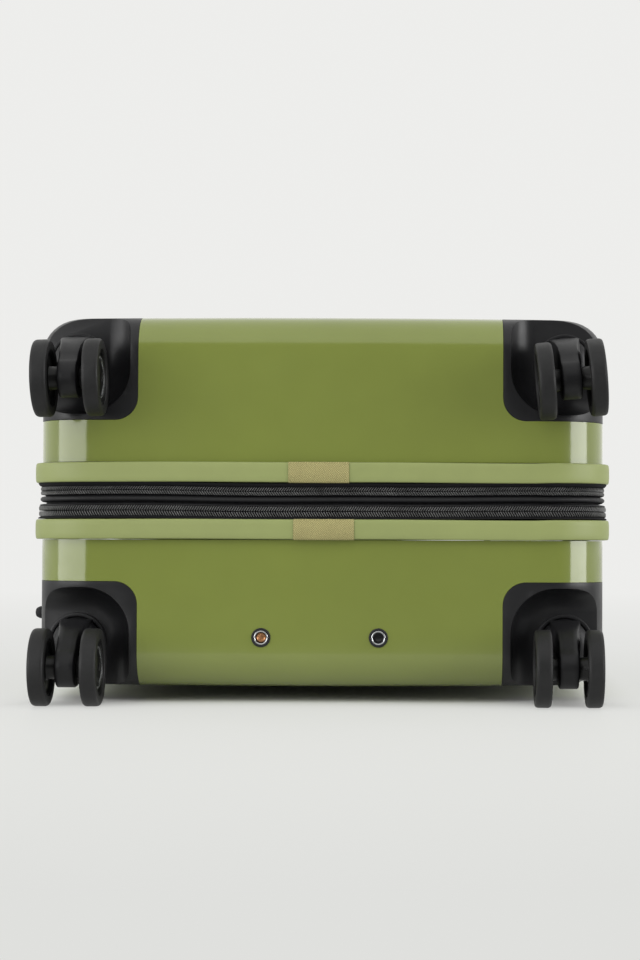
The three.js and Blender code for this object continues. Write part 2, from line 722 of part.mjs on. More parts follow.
addTo('back', 'trolley_frame', trolleyFrame(), finishes.aluminium);
addTo('back', 'trolley_middle_tube_left', middleTubePiece(-1), finishes.aluminium);
addTo('back', 'trolley_middle_tube_right', middleTubePiece(1), finishes.aluminium);
addTo('back', 'trolley_grip', trolleyGrip(), finishes.plastic);
addTo('back', 'trolley_button', gripButton(), finishes.glossPlastic);
addTo('back', 'trolley_bezel', bezel(), finishes.plastic);
addTo('back', 'tube_end_ring_left', tubeEndRing(-1), finishes.steel);
addTo('back', 'tube_end_ring_right', tubeEndRing(1), finishes.steel);
addTo('back', 'tube_end_screw', tubeEndScrew(), finishes.copper);

addTo('back', 'top_handle', toTop(geometryOf(carryHandle())), finishes.plastic);
addTo('back', 'top_handle_base', toTop(geometryOf(carryBase())), finishes.plastic);
addTo('back', 'side_handle', toSide(geometryOf(carryHandle())), finishes.plastic);
addTo('back', 'side_handle_base', toSide(geometryOf(carryBase())), finishes.plastic);

addTo('back', 'side_foot_wheel_end', sideFoot(-1), finishes.rubber);
addTo('back', 'side_foot_top_end', sideFoot(1), finishes.rubber);

addTo('front', 'lock_body', lockBody(), finishes.glossPlastic);
dialPlaces.forEach((y, i) => addTo('front', `lock_dial_${i + 1}`, lockDial(y), finishes.steel));
addTo('front', 'lock_button', lockButton(), finishes.steel);

add('main_zip_slider_a', onSide(geometryOf(zipSlider()), -mainSliderFromMiddle, mainZipHeight), finishes.zip);
add('main_zip_slider_b', onSide(geometryOf(zipSlider()), mainSliderFromMiddle, mainZipHeight), finishes.zip);
add('expansion_zip_slider', onTop(geometryOf(zipSlider()), expansionSliderFromMiddle, expansionZipHeight),
  finishes.zip);

add('divider_panel', divider(), finishes.cloth);
add('packing_straps', straps(), finishes.cloth);
add('strap_buckle', buckle(), finishes.glossPlastic);

export default suitcase;
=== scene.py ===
"""A hard shell suitcase on four twin-wheel casters, lying on its back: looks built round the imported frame."""

import contextlib
import functools
import json
import math
import random

import bmesh
import bpy
from bpy.props import FloatProperty, FloatVectorProperty, IntProperty, PointerProperty
from mathutils import Matrix, Vector


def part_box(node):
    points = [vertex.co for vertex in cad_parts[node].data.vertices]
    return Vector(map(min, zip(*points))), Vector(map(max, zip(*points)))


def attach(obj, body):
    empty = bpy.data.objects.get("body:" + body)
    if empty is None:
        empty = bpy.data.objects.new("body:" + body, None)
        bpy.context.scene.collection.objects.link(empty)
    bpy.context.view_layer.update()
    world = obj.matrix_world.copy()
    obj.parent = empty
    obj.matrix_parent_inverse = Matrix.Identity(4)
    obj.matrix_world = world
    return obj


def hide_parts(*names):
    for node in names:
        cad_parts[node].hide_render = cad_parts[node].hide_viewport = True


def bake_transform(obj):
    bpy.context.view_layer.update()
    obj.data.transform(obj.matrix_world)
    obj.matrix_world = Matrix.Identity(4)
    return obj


bl_info = {
    "name": "Hard Shell Suitcase",
    "version": (1, 0, 0),
    "blender": (4, 5, 0),
    "location": "View3D > Sidebar > Suitcase",
    "description": "Builds the looks of a hard shell suitcase round its packed frame",
    "category": "Add Mesh",
}

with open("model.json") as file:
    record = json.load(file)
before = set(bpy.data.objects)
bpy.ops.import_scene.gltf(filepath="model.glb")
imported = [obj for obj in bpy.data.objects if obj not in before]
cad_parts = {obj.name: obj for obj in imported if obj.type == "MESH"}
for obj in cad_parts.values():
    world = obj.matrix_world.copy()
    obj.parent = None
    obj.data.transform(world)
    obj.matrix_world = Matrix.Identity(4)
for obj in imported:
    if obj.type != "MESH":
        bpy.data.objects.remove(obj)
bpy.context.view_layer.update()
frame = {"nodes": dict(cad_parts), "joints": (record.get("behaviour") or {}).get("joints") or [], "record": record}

# ---- places read from the frame ----

SHELL_LOW, SHELL_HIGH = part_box("back_shell")
LID_LOW, LID_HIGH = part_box("front_shell")
MID_X = (SHELL_LOW.x + SHELL_HIGH.x) / 2
MID_Y = (SHELL_LOW.y + SHELL_HIGH.y) / 2
MID_Z = (SHELL_LOW.z + LID_HIGH.z) / 2
HALF_X = (SHELL_HIGH.x - SHELL_LOW.x) / 2
HALF_Y = (SHELL_HIGH.y - SHELL_LOW.y) / 2
SHELL_DEPTH = SHELL_HIGH.z - SHELL_LOW.z
WHEEL_END = SHELL_LOW.y
TOP_END = SHELL_HIGH.y
HALVES = {"back": "case_back", "front": "lid"}   # each half and the body that carries it
SIDES = {"left": -1, "right": 1}


# ---- sizes and colours a user would change ----

def length(name, description, default):
    return FloatProperty(name=name, description=description, default=default, unit="LENGTH", precision=5)


def colour(name, description, default):
    return FloatVectorProperty(
        name=name, description=description, default=default, subtype="COLOR", size=3, min=0, max=1)


class ShellSettings(bpy.types.PropertyGroup):
    corner_radius: length("Corner radius", "Radius of the upright corners", 0.0445)
    edge_radius: length("Edge radius", "Radius where the sides turn into the big face", 0.028)
    wall: length("Wall", "Thickness of the moulded shell", 0.0025)
    crown: length("Crown", "How far the big faces swell", 0.0022)
    arc_steps: IntProperty(name="Arc steps", description="Steps round each corner", default=18)
    paint: colour("Shell colour", "Glossy olive green", (0.172, 0.207, 0.042))
    rim_paint: colour("Rim colour", "Matte, lighter olive green", (0.25, 0.287, 0.1))


class ZipSettings(bpy.types.PropertyGroup):
    pitch: length("Tooth pitch", "Spacing of the coil's turns", 0.00195)
    main_height: length("Main zip height", "Main zip's middle above the case's middle", 0.0079)
    lower_height: length("Expansion zip height", "Expansion zip's middle against the case's middle", -0.008)
    wobble: length("Wobble", "How far the cloth wanders up and down", 0.0006)
    webbing: colour("Webbing colour", "Khaki webbing over the rims' joints", (0.5, 0.45, 0.2))
    black: colour("Zip colour", "Black tape", (0.012, 0.012, 0.0135))
    # Lighter grey than the real dark coil: partly the coil's colour, partly a painted glint on its turns.
    coil: colour("Coil colour", "Shiny dark coil", (0.17, 0.17, 0.168))


class CasterSettings(bpy.types.PropertyGroup):
    housing_round: length("Housing corner radius", "Round of the housing's outline", 0.018)
    scoop_reach: length("Scoop reach", "Mouth of the bowl, from the swivel axis", 0.0436)
    scoop_round: length("Scoop corner radius", "Round of the bowl's mouth", 0.036)
    scoop_floor: length("Scoop floor", "Floor of the bowl, from the swivel axis", 0.0245)
    scoop_depth: length("Scoop depth", "Depth of the bowl", 0.022)
    socket_radius: length("Socket radius", "Ring round the fork's dome", 0.023)
    dome_radius: length("Dome radius", "Radius of the fork's dome", 0.019)
    blade: length("Fork width", "Width of the fork's arm", 0.015)
    plastic: colour("Housing colour", "Satin black", (0.0085, 0.0085, 0.0095))
    wheel_black: colour("Wheel colour", "Black wheels", (0.007, 0.007, 0.0072))


class StageSettings(bpy.types.PropertyGroup):
    lens: FloatProperty(name="Lens", description="Focal length on a 36 mm frame", default=78.0, unit="CAMERA")
    distance: length("Camera distance", "Camera to the wheel axles", 1.6)
    height: length("Camera height", "Camera above the floor", 0.1596)
    aside: length("Camera aside", "Camera to the right of the case's middle", 0.08)
    shift: FloatProperty(name="Lens shift", description="Upward shift of the picture", default=0.0208)
    roll: FloatProperty(name="Roll", description="Roll of the camera", default=0.0035, subtype="ANGLE")
    surround: FloatProperty(
        name="Surround", description="Strength of the dim side behind the camera", default=0.16)
    open_sides: FloatProperty(
        name="Open sides", description="Strength of the pale studio elsewhere", default=1.15)
    floor: colour("Floor colour", "Plain pale floor", (0.74, 0.745, 0.725))
    backdrop: colour("Backdrop colour", "Plain pale backdrop", (0.85, 0.85, 0.835))


# ---- mesh helpers ----

@contextlib.contextmanager
def edited(mesh):
    """A bmesh of the mesh, written back when the block ends."""
    shape = bmesh.new()
    shape.from_mesh(mesh)
    yield shape
    shape.to_mesh(mesh)
    shape.free()


def raw_mesh(name, verts, faces):
    mesh = bpy.data.meshes.new(name)
    mesh.from_pydata([tuple(v) for v in verts], [], faces)
    return mesh


def add_piece(name, verts, faces, body, material, slot, smooth=35.0, node=None):
    """A named mesh piece that rides on a body and takes the given finish; the slot is not used."""
    return dress(name, raw_mesh(name, verts, faces), body, material, smooth, node)


def dress(name, mesh, body, material, smooth=35.0, node=None):
    """Makes a mesh into a piece, which may stand for a frame node."""
    mesh.validate()
    with edited(mesh) as shape:
        bmesh.ops.recalc_face_normals(shape, faces=shape.faces)
    mesh.name = name
    mesh.materials.clear()
    mesh.materials.append(material)
    for polygon in mesh.polygons:
        polygon.material_index = 0
        polygon.use_smooth = True
    mesh.set_sharp_from_angle(angle=math.radians(smooth))
    piece = bpy.data.objects.new(name, mesh)
    bpy.context.scene.collection.objects.link(piece)
    if body:
        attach(piece, body)
    if node:
        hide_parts(node)
    return piece


def loft(rings, closed=True, caps=True):
    """Vertices and faces of successive rings of equal count, joined in order."""
    count = len(rings[0])
    verts = [point for ring in rings for point in ring]
    faces = []
    for row in range(len(rings) - 1):
        for i in range(count if closed else count - 1):
            j = (i + 1) % count
            a, b = row * count, (row + 1) * count
            faces.append((a + i, a + j, b + j, b + i))
    if caps:
        faces.append(tuple(range(count))[::-1])
        faces.append(tuple(range((len(rings) - 1) * count, len(rings) * count)))
    return verts, faces


def walk(spacing=0.012):
    """Stations anticlockwise round the case's outline: place, outward direction and distance gone."""
    settings = bpy.context.scene.suitcase_shell
    radius = settings.corner_radius
    inner = (HALF_X - radius, HALF_Y - radius)
    corners = [(1, -1, -90), (1, 1, 0), (-1, 1, 90), (-1, -1, 180)]
    stations = []
    for index, (sx, sy, start) in enumerate(corners):
        centre = Vector((MID_X + sx * inner[0], MID_Y + sy * inner[1]))
        for step in range(settings.arc_steps + 1):
            angle = math.radians(start + 90 * step / settings.arc_steps)
            out = Vector((math.cos(angle), math.sin(angle)))
            stations.append((centre + out * radius, out))
        nx, ny, _ = corners[(index + 1) % 4]
        following = Vector((MID_X + nx * inner[0], MID_Y + ny * inner[1]))
        out = stations[-1][1]
        run = following - centre
        pieces = max(2, round(run.length / spacing))
        for step in range(1, pieces):
            stations.append((centre + out * radius + run * step / pieces, out))
    gone = 0.0
    walked = []
    for i, (place, out) in enumerate(stations):
        gone += (place - stations[i - 1][0]).length if i else 0.0
        walked.append((place, out, gone))
    return walked


def swept_ring(offset, height, stations):
    return [Vector((p.x + n.x * offset, p.y + n.y * offset, height)) for p, n, _ in stations]


def sweep(profile, stations, wander=None):
    """A closed band round the case from a closed profile of (offset, height) pairs."""
    rings = []
    for place, out, gone in stations:
        aside, rise = wander(gone) if wander else (0.0, 0.0)
        rings.append([
            Vector((place.x + out.x * (d + aside), place.y + out.y * (d + aside), z + rise))
            for d, z in profile])
    verts, faces = loft(rings + [rings[0]], closed=True, caps=False)
    count = len(profile)
    last = len(rings) * count
    verts = verts[:last]
    return verts, [tuple(v % last for v in face) for face in faces]


def turned(axis, profile, segments=64):
    """A closed profile of (radius, along) pairs turned round an axis through the origin."""
    rings = []
    for step in range(segments):
        angle = 2 * math.pi * step / segments
        c, s = math.cos(angle), math.sin(angle)
        spots = {"x": lambda r, h: (h, r * c, r * s), "y": lambda r, h: (r * s, h, r * c),
                 "z": lambda r, h: (r * c, r * s, h)}[axis]
        rings.append([Vector(spots(r, h)) for r, h in profile])
    count = len(profile)
    verts = [point for ring in rings for point in ring]
    faces = []
    for row in range(segments):
        a, b = row * count, ((row + 1) % segments) * count
        for i in range(count):
            j = (i + 1) % count
            if profile[i][0] < 1e-9 and profile[j][0] < 1e-9:
                continue
            faces.append((a + i, a + j, b + j, b + i))
    return verts, faces


def rounded(profile, radius, steps=4):
    """The same closed profile with each corner cut to an arc of about the given radius."""
    out = []
    count = len(profile)
    for i, here in enumerate(profile):
        here = Vector(here)
        before, after = Vector(profile[i - 1]), Vector(profile[(i + 1) % count])
        reach = min(radius, (before - here).length * 0.45, (after - here).length * 0.45)
        if here.x < 1e-9 or reach < 1e-6:
            out.append(tuple(here))
            continue
        start = here + (before - here).normalized() * reach
        end = here + (after - here).normalized() * reach
        for step in range(steps + 1):
            t = step / steps
            point = start.lerp(here, t).lerp(here.lerp(end, t), t)
            out.append(tuple(point))
    return out


def box_mesh(low, high, bevel=0.0, segments=4):
    """A bmesh box between two corners, with its edges rounded."""
    shape = bmesh.new()
    bmesh.ops.create_cube(shape, size=1.0)
    low, high = Vector(low), Vector(high)
    for vert in shape.verts:
        vert.co = Vector(low[k] + (vert.co[k] + 0.5) * (high[k] - low[k]) for k in range(3))
    if bevel:
        bmesh.ops.bevel(shape, geom=shape.edges[:], offset=bevel, segments=segments, profile=0.5,
                        affect="EDGES", clamp_overlap=True)
    mesh = bpy.data.meshes.new("box")
    shape.to_mesh(mesh)
    shape.free()
    return mesh


def mesh_of(verts, faces):
    mesh = raw_mesh("shape", verts, faces)
    with edited(mesh) as shape:
        bmesh.ops.remove_doubles(shape, verts=shape.verts, dist=1e-6)
        bmesh.ops.recalc_face_normals(shape, faces=shape.faces)
    return mesh


def spun(axis, profile, segments, place=None):
    """A clean mesh turned round an axis, moved to its place."""
    mesh = mesh_of(*turned(axis, profile, segments))
    if place:
        mesh.transform(Matrix.Translation(place))
    return mesh


def held(name, data):
    """A passing object in the scene, to be given modifiers."""
    holder = bpy.data.objects.new(name, data)
    bpy.context.scene.collection.objects.link(holder)
    return holder


def settled(holder, *others):
    """The mesh that a passing object comes to, once it and its tools are taken away."""
    bpy.context.view_layer.update()
    result = bpy.data.meshes.new_from_object(holder.evaluated_get(bpy.context.evaluated_depsgraph_get()))
    for thing in (holder, *others):
        bpy.data.objects.remove(thing)
    return result


def divided(shape, spacing, rounds):
    """Splits a bmesh until no edge is longer than the spacing."""
    bmesh.ops.triangulate(shape, faces=shape.faces)
    for _ in range(rounds):
        long_edges = [edge for edge in shape.edges if edge.calc_length() > spacing]
        if not long_edges:
            break
        bmesh.ops.subdivide_edges(shape, edges=long_edges, cuts=1, use_grid_fill=False)
        bmesh.ops.triangulate(shape, faces=[f for f in shape.faces if len(f.verts) > 3])


def carve(base, steps):
    """A mesh after boolean steps, each an operation and a mesh."""
    worked = held("worked", base)
    tools = []
    for operation, mesh in steps:
        tool = held("tool", mesh)
        tools.append(tool)
        change = worked.modifiers.new("carve", "BOOLEAN")
        change.operation = operation
        change.solver = "EXACT"
        change.object = tool
    return settled(worked, *tools)


def soften(mesh, width, segments=2, angle=35.0):
    """The same mesh with its sharp edges rounded by a small bevel."""
    holder = held("soften", mesh)
    bevel = holder.modifiers.new("edges", "BEVEL")
    bevel.width = width
    bevel.segments = segments
    bevel.limit_method = "ANGLE"
    bevel.angle_limit = math.radians(angle)
    bevel.use_clamp_overlap = True
    return settled(holder)


def node_mesh(node):
    """A copy of a frame node's mesh with its flat faces whole again."""
    mesh = frame["nodes"][node].data.copy()
    with edited(mesh) as shape:
        bmesh.ops.remove_doubles(shape, verts=shape.verts, dist=1e-5)
        bmesh.ops.dissolve_limit(shape, angle_limit=math.radians(1.0), verts=shape.verts, edges=shape.edges)
    return mesh


def refined(node, name, body, material, width=0.0008, segments=3):
    """A piece that stands for a frame node, with its edges rounded."""
    return dress(name, soften(node_mesh(node), width, segments), body, material, node=node)


def body_of_node(node):
    return next(name for name, nodes in frame["record"]["behaviour"]["bodies"].items() if node in nodes)


def paint_node(node, material):
    data = frame["nodes"][node].data
    data.materials.clear()
    data.materials.append(material)


# ---- shader effects shared by the materials ----

def effect_group(name, inputs, outputs):
    tree = bpy.data.node_groups.new(name, "ShaderNodeTree")
    for label, value in inputs:
        socket = tree.interface.new_socket(name=label, in_out="INPUT", socket_type="NodeSocketFloat")
        socket.default_value = value
    for label in outputs:
        tree.interface.new_socket(name=label, in_out="OUTPUT", socket_type="NodeSocketFloat")
    entry = tree.nodes.new("NodeGroupInput")
    result = tree.nodes.new("NodeGroupOutput")
    place = tree.nodes.new("ShaderNodeTexCoord")
    return tree, entry, result, place


def math_node(tree, operation, a, b=None, clamp=False):
    node = tree.nodes.new("ShaderNodeMath")
    node.operation = operation
    node.use_clamp = clamp
    for socket, value in zip(node.inputs, (a, b)):
        if value is None:
            continue
        if isinstance(value, bpy.types.NodeSocket):
            tree.links.new(value, socket)
        else:
            socket.default_value = value
    return node.outputs[0]


def remap(tree, value, low, high, to_low, to_high):
    node = tree.nodes.new("ShaderNodeMapRange")
    for socket, given in zip(list(node.inputs)[:5], (value, low, high, to_low, to_high)):
        if isinstance(given, bpy.types.NodeSocket):
            tree.links.new(given, socket)
        else:
            socket.default_value = given
    return node.outputs[0]


def cloudy_group():
    """Slow and fine variation between two values: smudges, fading and handling marks."""
    tree, entry, result, place = effect_group(
        "Cloudy Variation", [("Scale", 12.0), ("Low", 0.0), ("High", 1.0)], ["Value"])
    broad = tree.nodes.new("ShaderNodeTexNoise")
    broad.inputs["Detail"].default_value = 3.0
    fine = tree.nodes.new("ShaderNodeTexNoise")
    fine.inputs["Detail"].default_value = 6.0
    tree.links.new(place.outputs["Object"], broad.inputs["Vector"])
    tree.links.new(place.outputs["Object"], fine.inputs["Vector"])
    tree.links.new(entry.outputs["Scale"], broad.inputs["Scale"])
    tree.links.new(math_node(tree, "MULTIPLY", entry.outputs["Scale"], 9.0), fine.inputs["Scale"])
    both = math_node(tree, "ADD", math_node(tree, "MULTIPLY", broad.outputs["Fac"], 0.7),
                     math_node(tree, "MULTIPLY", fine.outputs["Fac"], 0.3))
    value = remap(tree, both, 0.32, 0.68, entry.outputs["Low"], entry.outputs["High"])
    tree.links.new(value, result.inputs["Value"])
    return tree


def grain_group():
    """The fine grain of moulded plastic and rubber, as a height."""
    tree, entry, result, place = effect_group("Moulded Grain", [("Scale", 900.0)], ["Height"])
    noise = tree.nodes.new("ShaderNodeTexNoise")
    noise.inputs["Detail"].default_value = 2.0
    cells = tree.nodes.new("ShaderNodeTexVoronoi")
    for node in (noise, cells):
        tree.links.new(place.outputs["Object"], node.inputs["Vector"])
        tree.links.new(entry.outputs["Scale"], node.inputs["Scale"])
    height = math_node(tree, "ADD", math_node(tree, "MULTIPLY", noise.outputs["Fac"], 0.6),
                       math_node(tree, "MULTIPLY", cells.outputs["Distance"], 0.4))
    tree.links.new(height, result.inputs["Height"])
    return tree


def weave_group():
    """A plain weave on upright and level faces: height of the threads and a mask between them, by which the gaps
    between the threads take painted shade.
    """
    tree, entry, result, place = effect_group(
        "Plain Weave", [("Threads", 1200.0), ("Slant", 0.0)], ["Height", "Mask"])
    calc = functools.partial(math_node, tree)
    split = tree.nodes.new("ShaderNodeSeparateXYZ")
    facing = tree.nodes.new("ShaderNodeSeparateXYZ")
    tree.links.new(place.outputs["Object"], split.inputs[0])
    tree.links.new(place.outputs["Normal"], facing.inputs[0])
    level = calc("GREATER_THAN", calc("ABSOLUTE", facing.outputs["Z"]), 0.7)
    upright = calc("SUBTRACT", 1.0, level)
    across = calc("ADD", split.outputs["X"], calc("MULTIPLY", split.outputs["Y"], upright))
    along = calc("ADD", calc("MULTIPLY", split.outputs["Z"], upright),
                 calc("MULTIPLY", split.outputs["Y"], level))
    turns = calc("MULTIPLY", entry.outputs["Threads"], math.pi)
    slanted = calc("ADD", across, calc("MULTIPLY", along, entry.outputs["Slant"]))
    crossing = calc("SUBTRACT", along, calc("MULTIPLY", across, entry.outputs["Slant"]))
    u = calc("MULTIPLY", slanted, turns)
    v = calc("MULTIPLY", crossing, turns)
    warp = calc("ABSOLUTE", calc("SINE", u))
    weft = calc("ABSOLUTE", calc("SINE", v))
    half_waves = [calc("SINE", calc("MULTIPLY", turn, 0.5)) for turn in (u, v)]
    over = calc("GREATER_THAN", calc("MULTIPLY", *half_waves), 0.0)
    under = calc("SUBTRACT", 1.0, over)
    height = calc("ADD", calc("MULTIPLY", warp, over), calc("MULTIPLY", weft, under))
    tree.links.new(height, result.inputs["Height"])
    tree.links.new(calc("MULTIPLY", warp, weft), result.inputs["Mask"])
    return tree


def wear_and_highlight_group():
    """A mask of the sharp edges, broken up, for a lighter colour there: partly scuffs from handling, partly a
    painted highlight along the edges.
    """
    tree, entry, result, place = effect_group("Edge Wear And Highlight", [("Start", 0.55), ("Amount", 0.5)], ["Mask"])
    shape = tree.nodes.new("ShaderNodeNewGeometry")
    noise = tree.nodes.new("ShaderNodeTexNoise")
    noise.inputs["Scale"].default_value = 160.0
    noise.inputs["Detail"].default_value = 4.0
    tree.links.new(place.outputs["Object"], noise.inputs["Vector"])
    edge = remap(tree, shape.outputs["Pointiness"], entry.outputs["Start"], 0.75, 0.0, 1.0)
    patches = remap(tree, noise.outputs["Fac"], 0.45, 0.65, 0.0, 1.0)
    both = math_node(tree, "MULTIPLY", edge, patches)
    edge_wear_and_highlight = math_node(tree, "MULTIPLY", both, entry.outputs["Amount"], True)
    tree.links.new(edge_wear_and_highlight, result.inputs["Mask"])
    return tree


def effect(name):
    makers = {"Cloudy Variation": cloudy_group, "Moulded Grain": grain_group, "Plain Weave": weave_group,
              "Edge Wear And Highlight": wear_and_highlight_group}
    return bpy.data.node_groups.get(name) or makers[name]()


class Finish:
    """A material on a Principled shader, with calls that add this object's effects to it."""

    def __init__(self, name, base, roughness, metallic=0.0, coat=0.0, specular=0.5):
        self.material = bpy.data.materials.new(name)
        self.material.use_nodes = True
        self.material.diffuse_color = (*base, 1.0)
        self.tree = self.material.node_tree
        self.shader = self.tree.nodes["Principled BSDF"]
        self.base = base
        for label, value in (("Base Color", (*base, 1.0)), ("Roughness", roughness), ("Metallic", metallic),
                             ("Coat Weight", coat), ("Specular IOR Level", specular)):
            self.shader.inputs[label].default_value = value
        self.shader.inputs["Coat Roughness"].default_value = 0.04

    def place(self, name, **values):
        node = self.tree.nodes.new("ShaderNodeGroup")
        node.node_tree = effect(name)
        for label, value in values.items():
            node.inputs[label].default_value = value
        return node

    def vary_roughness(self, scale, low, high):
        node = self.place("Cloudy Variation", Scale=scale, Low=low, High=high)
        self.tree.links.new(node.outputs["Value"], self.shader.inputs["Roughness"])
        return self

    def tint(self, mask, other):
        """Mixes the colour so far with another, by a mask."""
        mix = self.tree.nodes.new("ShaderNodeMix")
        mix.data_type = "RGBA"
        colour_in = self.shader.inputs["Base Color"]
        if colour_in.is_linked:
            self.tree.links.new(colour_in.links[0].from_socket, mix.inputs["A"])
        else:
            mix.inputs["A"].default_value = (*self.base, 1.0)
        mix.inputs["B"].default_value = (*other, 1.0)
        self.tree.links.new(mask, mix.inputs["Factor"])
        self.tree.links.new(mix.outputs["Result"], colour_in)
        return self

    def shade(self, scale, amount):
        """Slow changes of shade over the surface."""
        node = self.place("Cloudy Variation", Scale=scale, Low=0.0, High=1.0)
        return self.tint(node.outputs["Value"], toned(self.base, amount))

    # Lighter sharp edges: partly wear from handling, partly a painted highlight.
    def edge_wear_and_highlight(self, other, amount=0.5, start=0.55):
        node = self.place("Edge Wear And Highlight", Amount=amount, Start=start)
        return self.tint(node.outputs["Mask"], other)

    def bump(self, socket, strength, distance):
        node = self.tree.nodes.new("ShaderNodeBump")
        node.inputs["Strength"].default_value = strength
        node.inputs["Distance"].default_value = distance
        normal = self.shader.inputs["Normal"]
        if normal.is_linked:
            self.tree.links.new(normal.links[0].from_socket, node.inputs["Normal"])
        self.tree.links.new(socket, node.inputs["Height"])
        self.tree.links.new(node.outputs["Normal"], normal)
        return self

    def grained(self, scale, strength=0.25, distance=0.0002):
        return self.bump(self.place("Moulded Grain", Scale=scale).outputs["Height"], strength, distance)

    def waved(self, scale, strength, distance):
        """The slow unevenness of a moulded sheet, which bends its reflections."""
        return self.bump(self.place("Cloudy Variation", Scale=scale).outputs["Value"], strength, distance)

    def woven(self, threads, strength=0.6, distance=0.0003, dark=0.6, slant=0.0):
        node = self.place("Plain Weave", Threads=threads, Slant=slant)
        # Painted shade: the gaps between the threads are darkened towards the given share of the base colour.
        self.tint(math_node(self.tree, "SUBTRACT", 1.0, node.outputs["Mask"]), toned(self.base, dark))
        return self.bump(node.outputs["Height"], strength, distance)


FINISHES = {}


def finish(name):
    """The material of that name, made the first time it is asked for."""
    if name not in FINISHES:
        FINISHES[name] = make_finish(name).material
    return FINISHES[name]


def toned(colour, share=1.0):
    return tuple(c * share for c in colour)


def make_finish(name):
    scene = bpy.context.scene
    paint, rim = scene.suitcase_shell.paint, scene.suitcase_shell.rim_paint
    zips, plastic = scene.suitcase_zips, toned(scene.suitcase_casters.plastic)
    wheel = scene.suitcase_casters.wheel_black
    # Lighter sharp edges in these finishes are partly wear, partly a painted highlight.
    return {
        "shell": lambda: Finish("glossy_shell", toned(paint), 0.14, coat=0.6)
        .shade(5.0, 0.9).vary_roughness(14.0, 0.1, 0.2).waved(3.5, 0.1, 0.004),
        "rim": lambda: Finish("matte_rim", toned(rim), 0.5)
        .shade(9.0, 0.9).edge_wear_and_highlight(toned(rim, 1.3), 0.4).grained(1500.0, 0.1),
        "webbing": lambda: Finish("khaki_webbing", toned(zips.webbing), 0.85, specular=0.2)
        .shade(60.0, 0.8).woven(620.0, 0.8, 0.0004, 0.5, 0.8),
        "zip_tape": lambda: Finish("zip_tape", toned(zips.black, 0.6), 0.8, specular=0.2)
        .shade(40.0, 1.6).woven(1100.0, 0.5, 0.0003, 0.6),
        # The coil's grey is partly a painted glint on its turns.
        "zip_coil": lambda: Finish("zip_coil", toned(zips.coil), 0.25, coat=0.3, specular=0.6)
        .shade(90.0, 0.5).vary_roughness(120.0, 0.16, 0.34),
        "fold_cloth": lambda: Finish("satin_fold", toned(zips.black, 0.8), 0.5, specular=0.35)
        .vary_roughness(30.0, 0.38, 0.6).woven(1900.0, 0.25, 0.0002, 0.75),
        "black_cloth": lambda: Finish("black_cloth", toned(zips.black, 1.5), 0.85, specular=0.25)
        .shade(25.0, 1.5).woven(1300.0, 0.6, 0.0003, 0.55),
        "lining": lambda: Finish("lining_cloth", (0.09, 0.095, 0.07), 0.8, specular=0.25)
        .shade(14.0, 0.8).woven(1200.0, 0.5, 0.0003, 0.65).waved(45.0, 0.35, 0.003),
        "housing": lambda: Finish("satin_housing", plastic, 0.36, specular=0.4)
        .vary_roughness(18.0, 0.3, 0.48).edge_wear_and_highlight((0.05, 0.05, 0.052), 0.35).grained(1200.0, 0.1),
        "fork": lambda: Finish("fork_plastic", plastic, 0.42, specular=0.3)
        .vary_roughness(25.0, 0.34, 0.5).edge_wear_and_highlight((0.07, 0.07, 0.07), 0.5).grained(900.0, 0.15),
        "tyre": lambda: Finish("wheel_tyre", toned(wheel, 1.1), 0.5, specular=0.32)
        .shade(35.0, 1.7).vary_roughness(50.0, 0.42, 0.62).grained(800.0, 0.3),
        # The hub is a darker black than the tyre: painted shade for the gap between the wheel and the fork arm,
        # where its boss shows.
        "hub": lambda: Finish("wheel_hub", toned(wheel, 0.7), 0.34, specular=0.3)
        .vary_roughness(30.0, 0.26, 0.42).grained(1100.0, 0.1),
        "black_plastic": lambda: Finish("black_plastic", plastic, 0.42)
        .vary_roughness(20.0, 0.34, 0.5).edge_wear_and_highlight((0.06, 0.06, 0.062), 0.4).grained(1000.0, 0.2),
        "gloss_black": lambda: Finish("gloss_black", plastic, 0.16, coat=0.4)
        .vary_roughness(25.0, 0.1, 0.24),
        "rubber": lambda: Finish("foot_rubber", toned(plastic, 1.1), 0.7, specular=0.3)
        .shade(80.0, 1.6).grained(900.0, 0.4),
        "chrome": lambda: Finish("chrome", (0.62, 0.63, 0.64), 0.12, metallic=1.0)
        .vary_roughness(80.0, 0.08, 0.2),
        "dark_metal": lambda: Finish("dark_metal", (0.035, 0.035, 0.037), 0.35, metallic=0.6)
        .vary_roughness(90.0, 0.26, 0.45).edge_wear_and_highlight((0.25, 0.25, 0.25), 0.5),
        "copper": lambda: Finish("copper_screw", (0.55, 0.27, 0.13), 0.3, metallic=1.0)
        .vary_roughness(200.0, 0.2, 0.5),
        "aluminium": lambda: Finish("satin_aluminium", (0.5, 0.505, 0.51), 0.35, metallic=1.0)
        .vary_roughness(70.0, 0.28, 0.45).grained(1800.0, 0.08),
        "silver_mark": lambda: Finish("silver_ring", (0.6, 0.62, 0.62), 0.25, metallic=0.9)
        .vary_roughness(90.0, 0.2, 0.35),
        "white_mark": lambda: Finish("white_figures", (0.7, 0.7, 0.68), 0.5)
        .vary_roughness(90.0, 0.4, 0.6),
    }[name]()


# ---- the shells ----

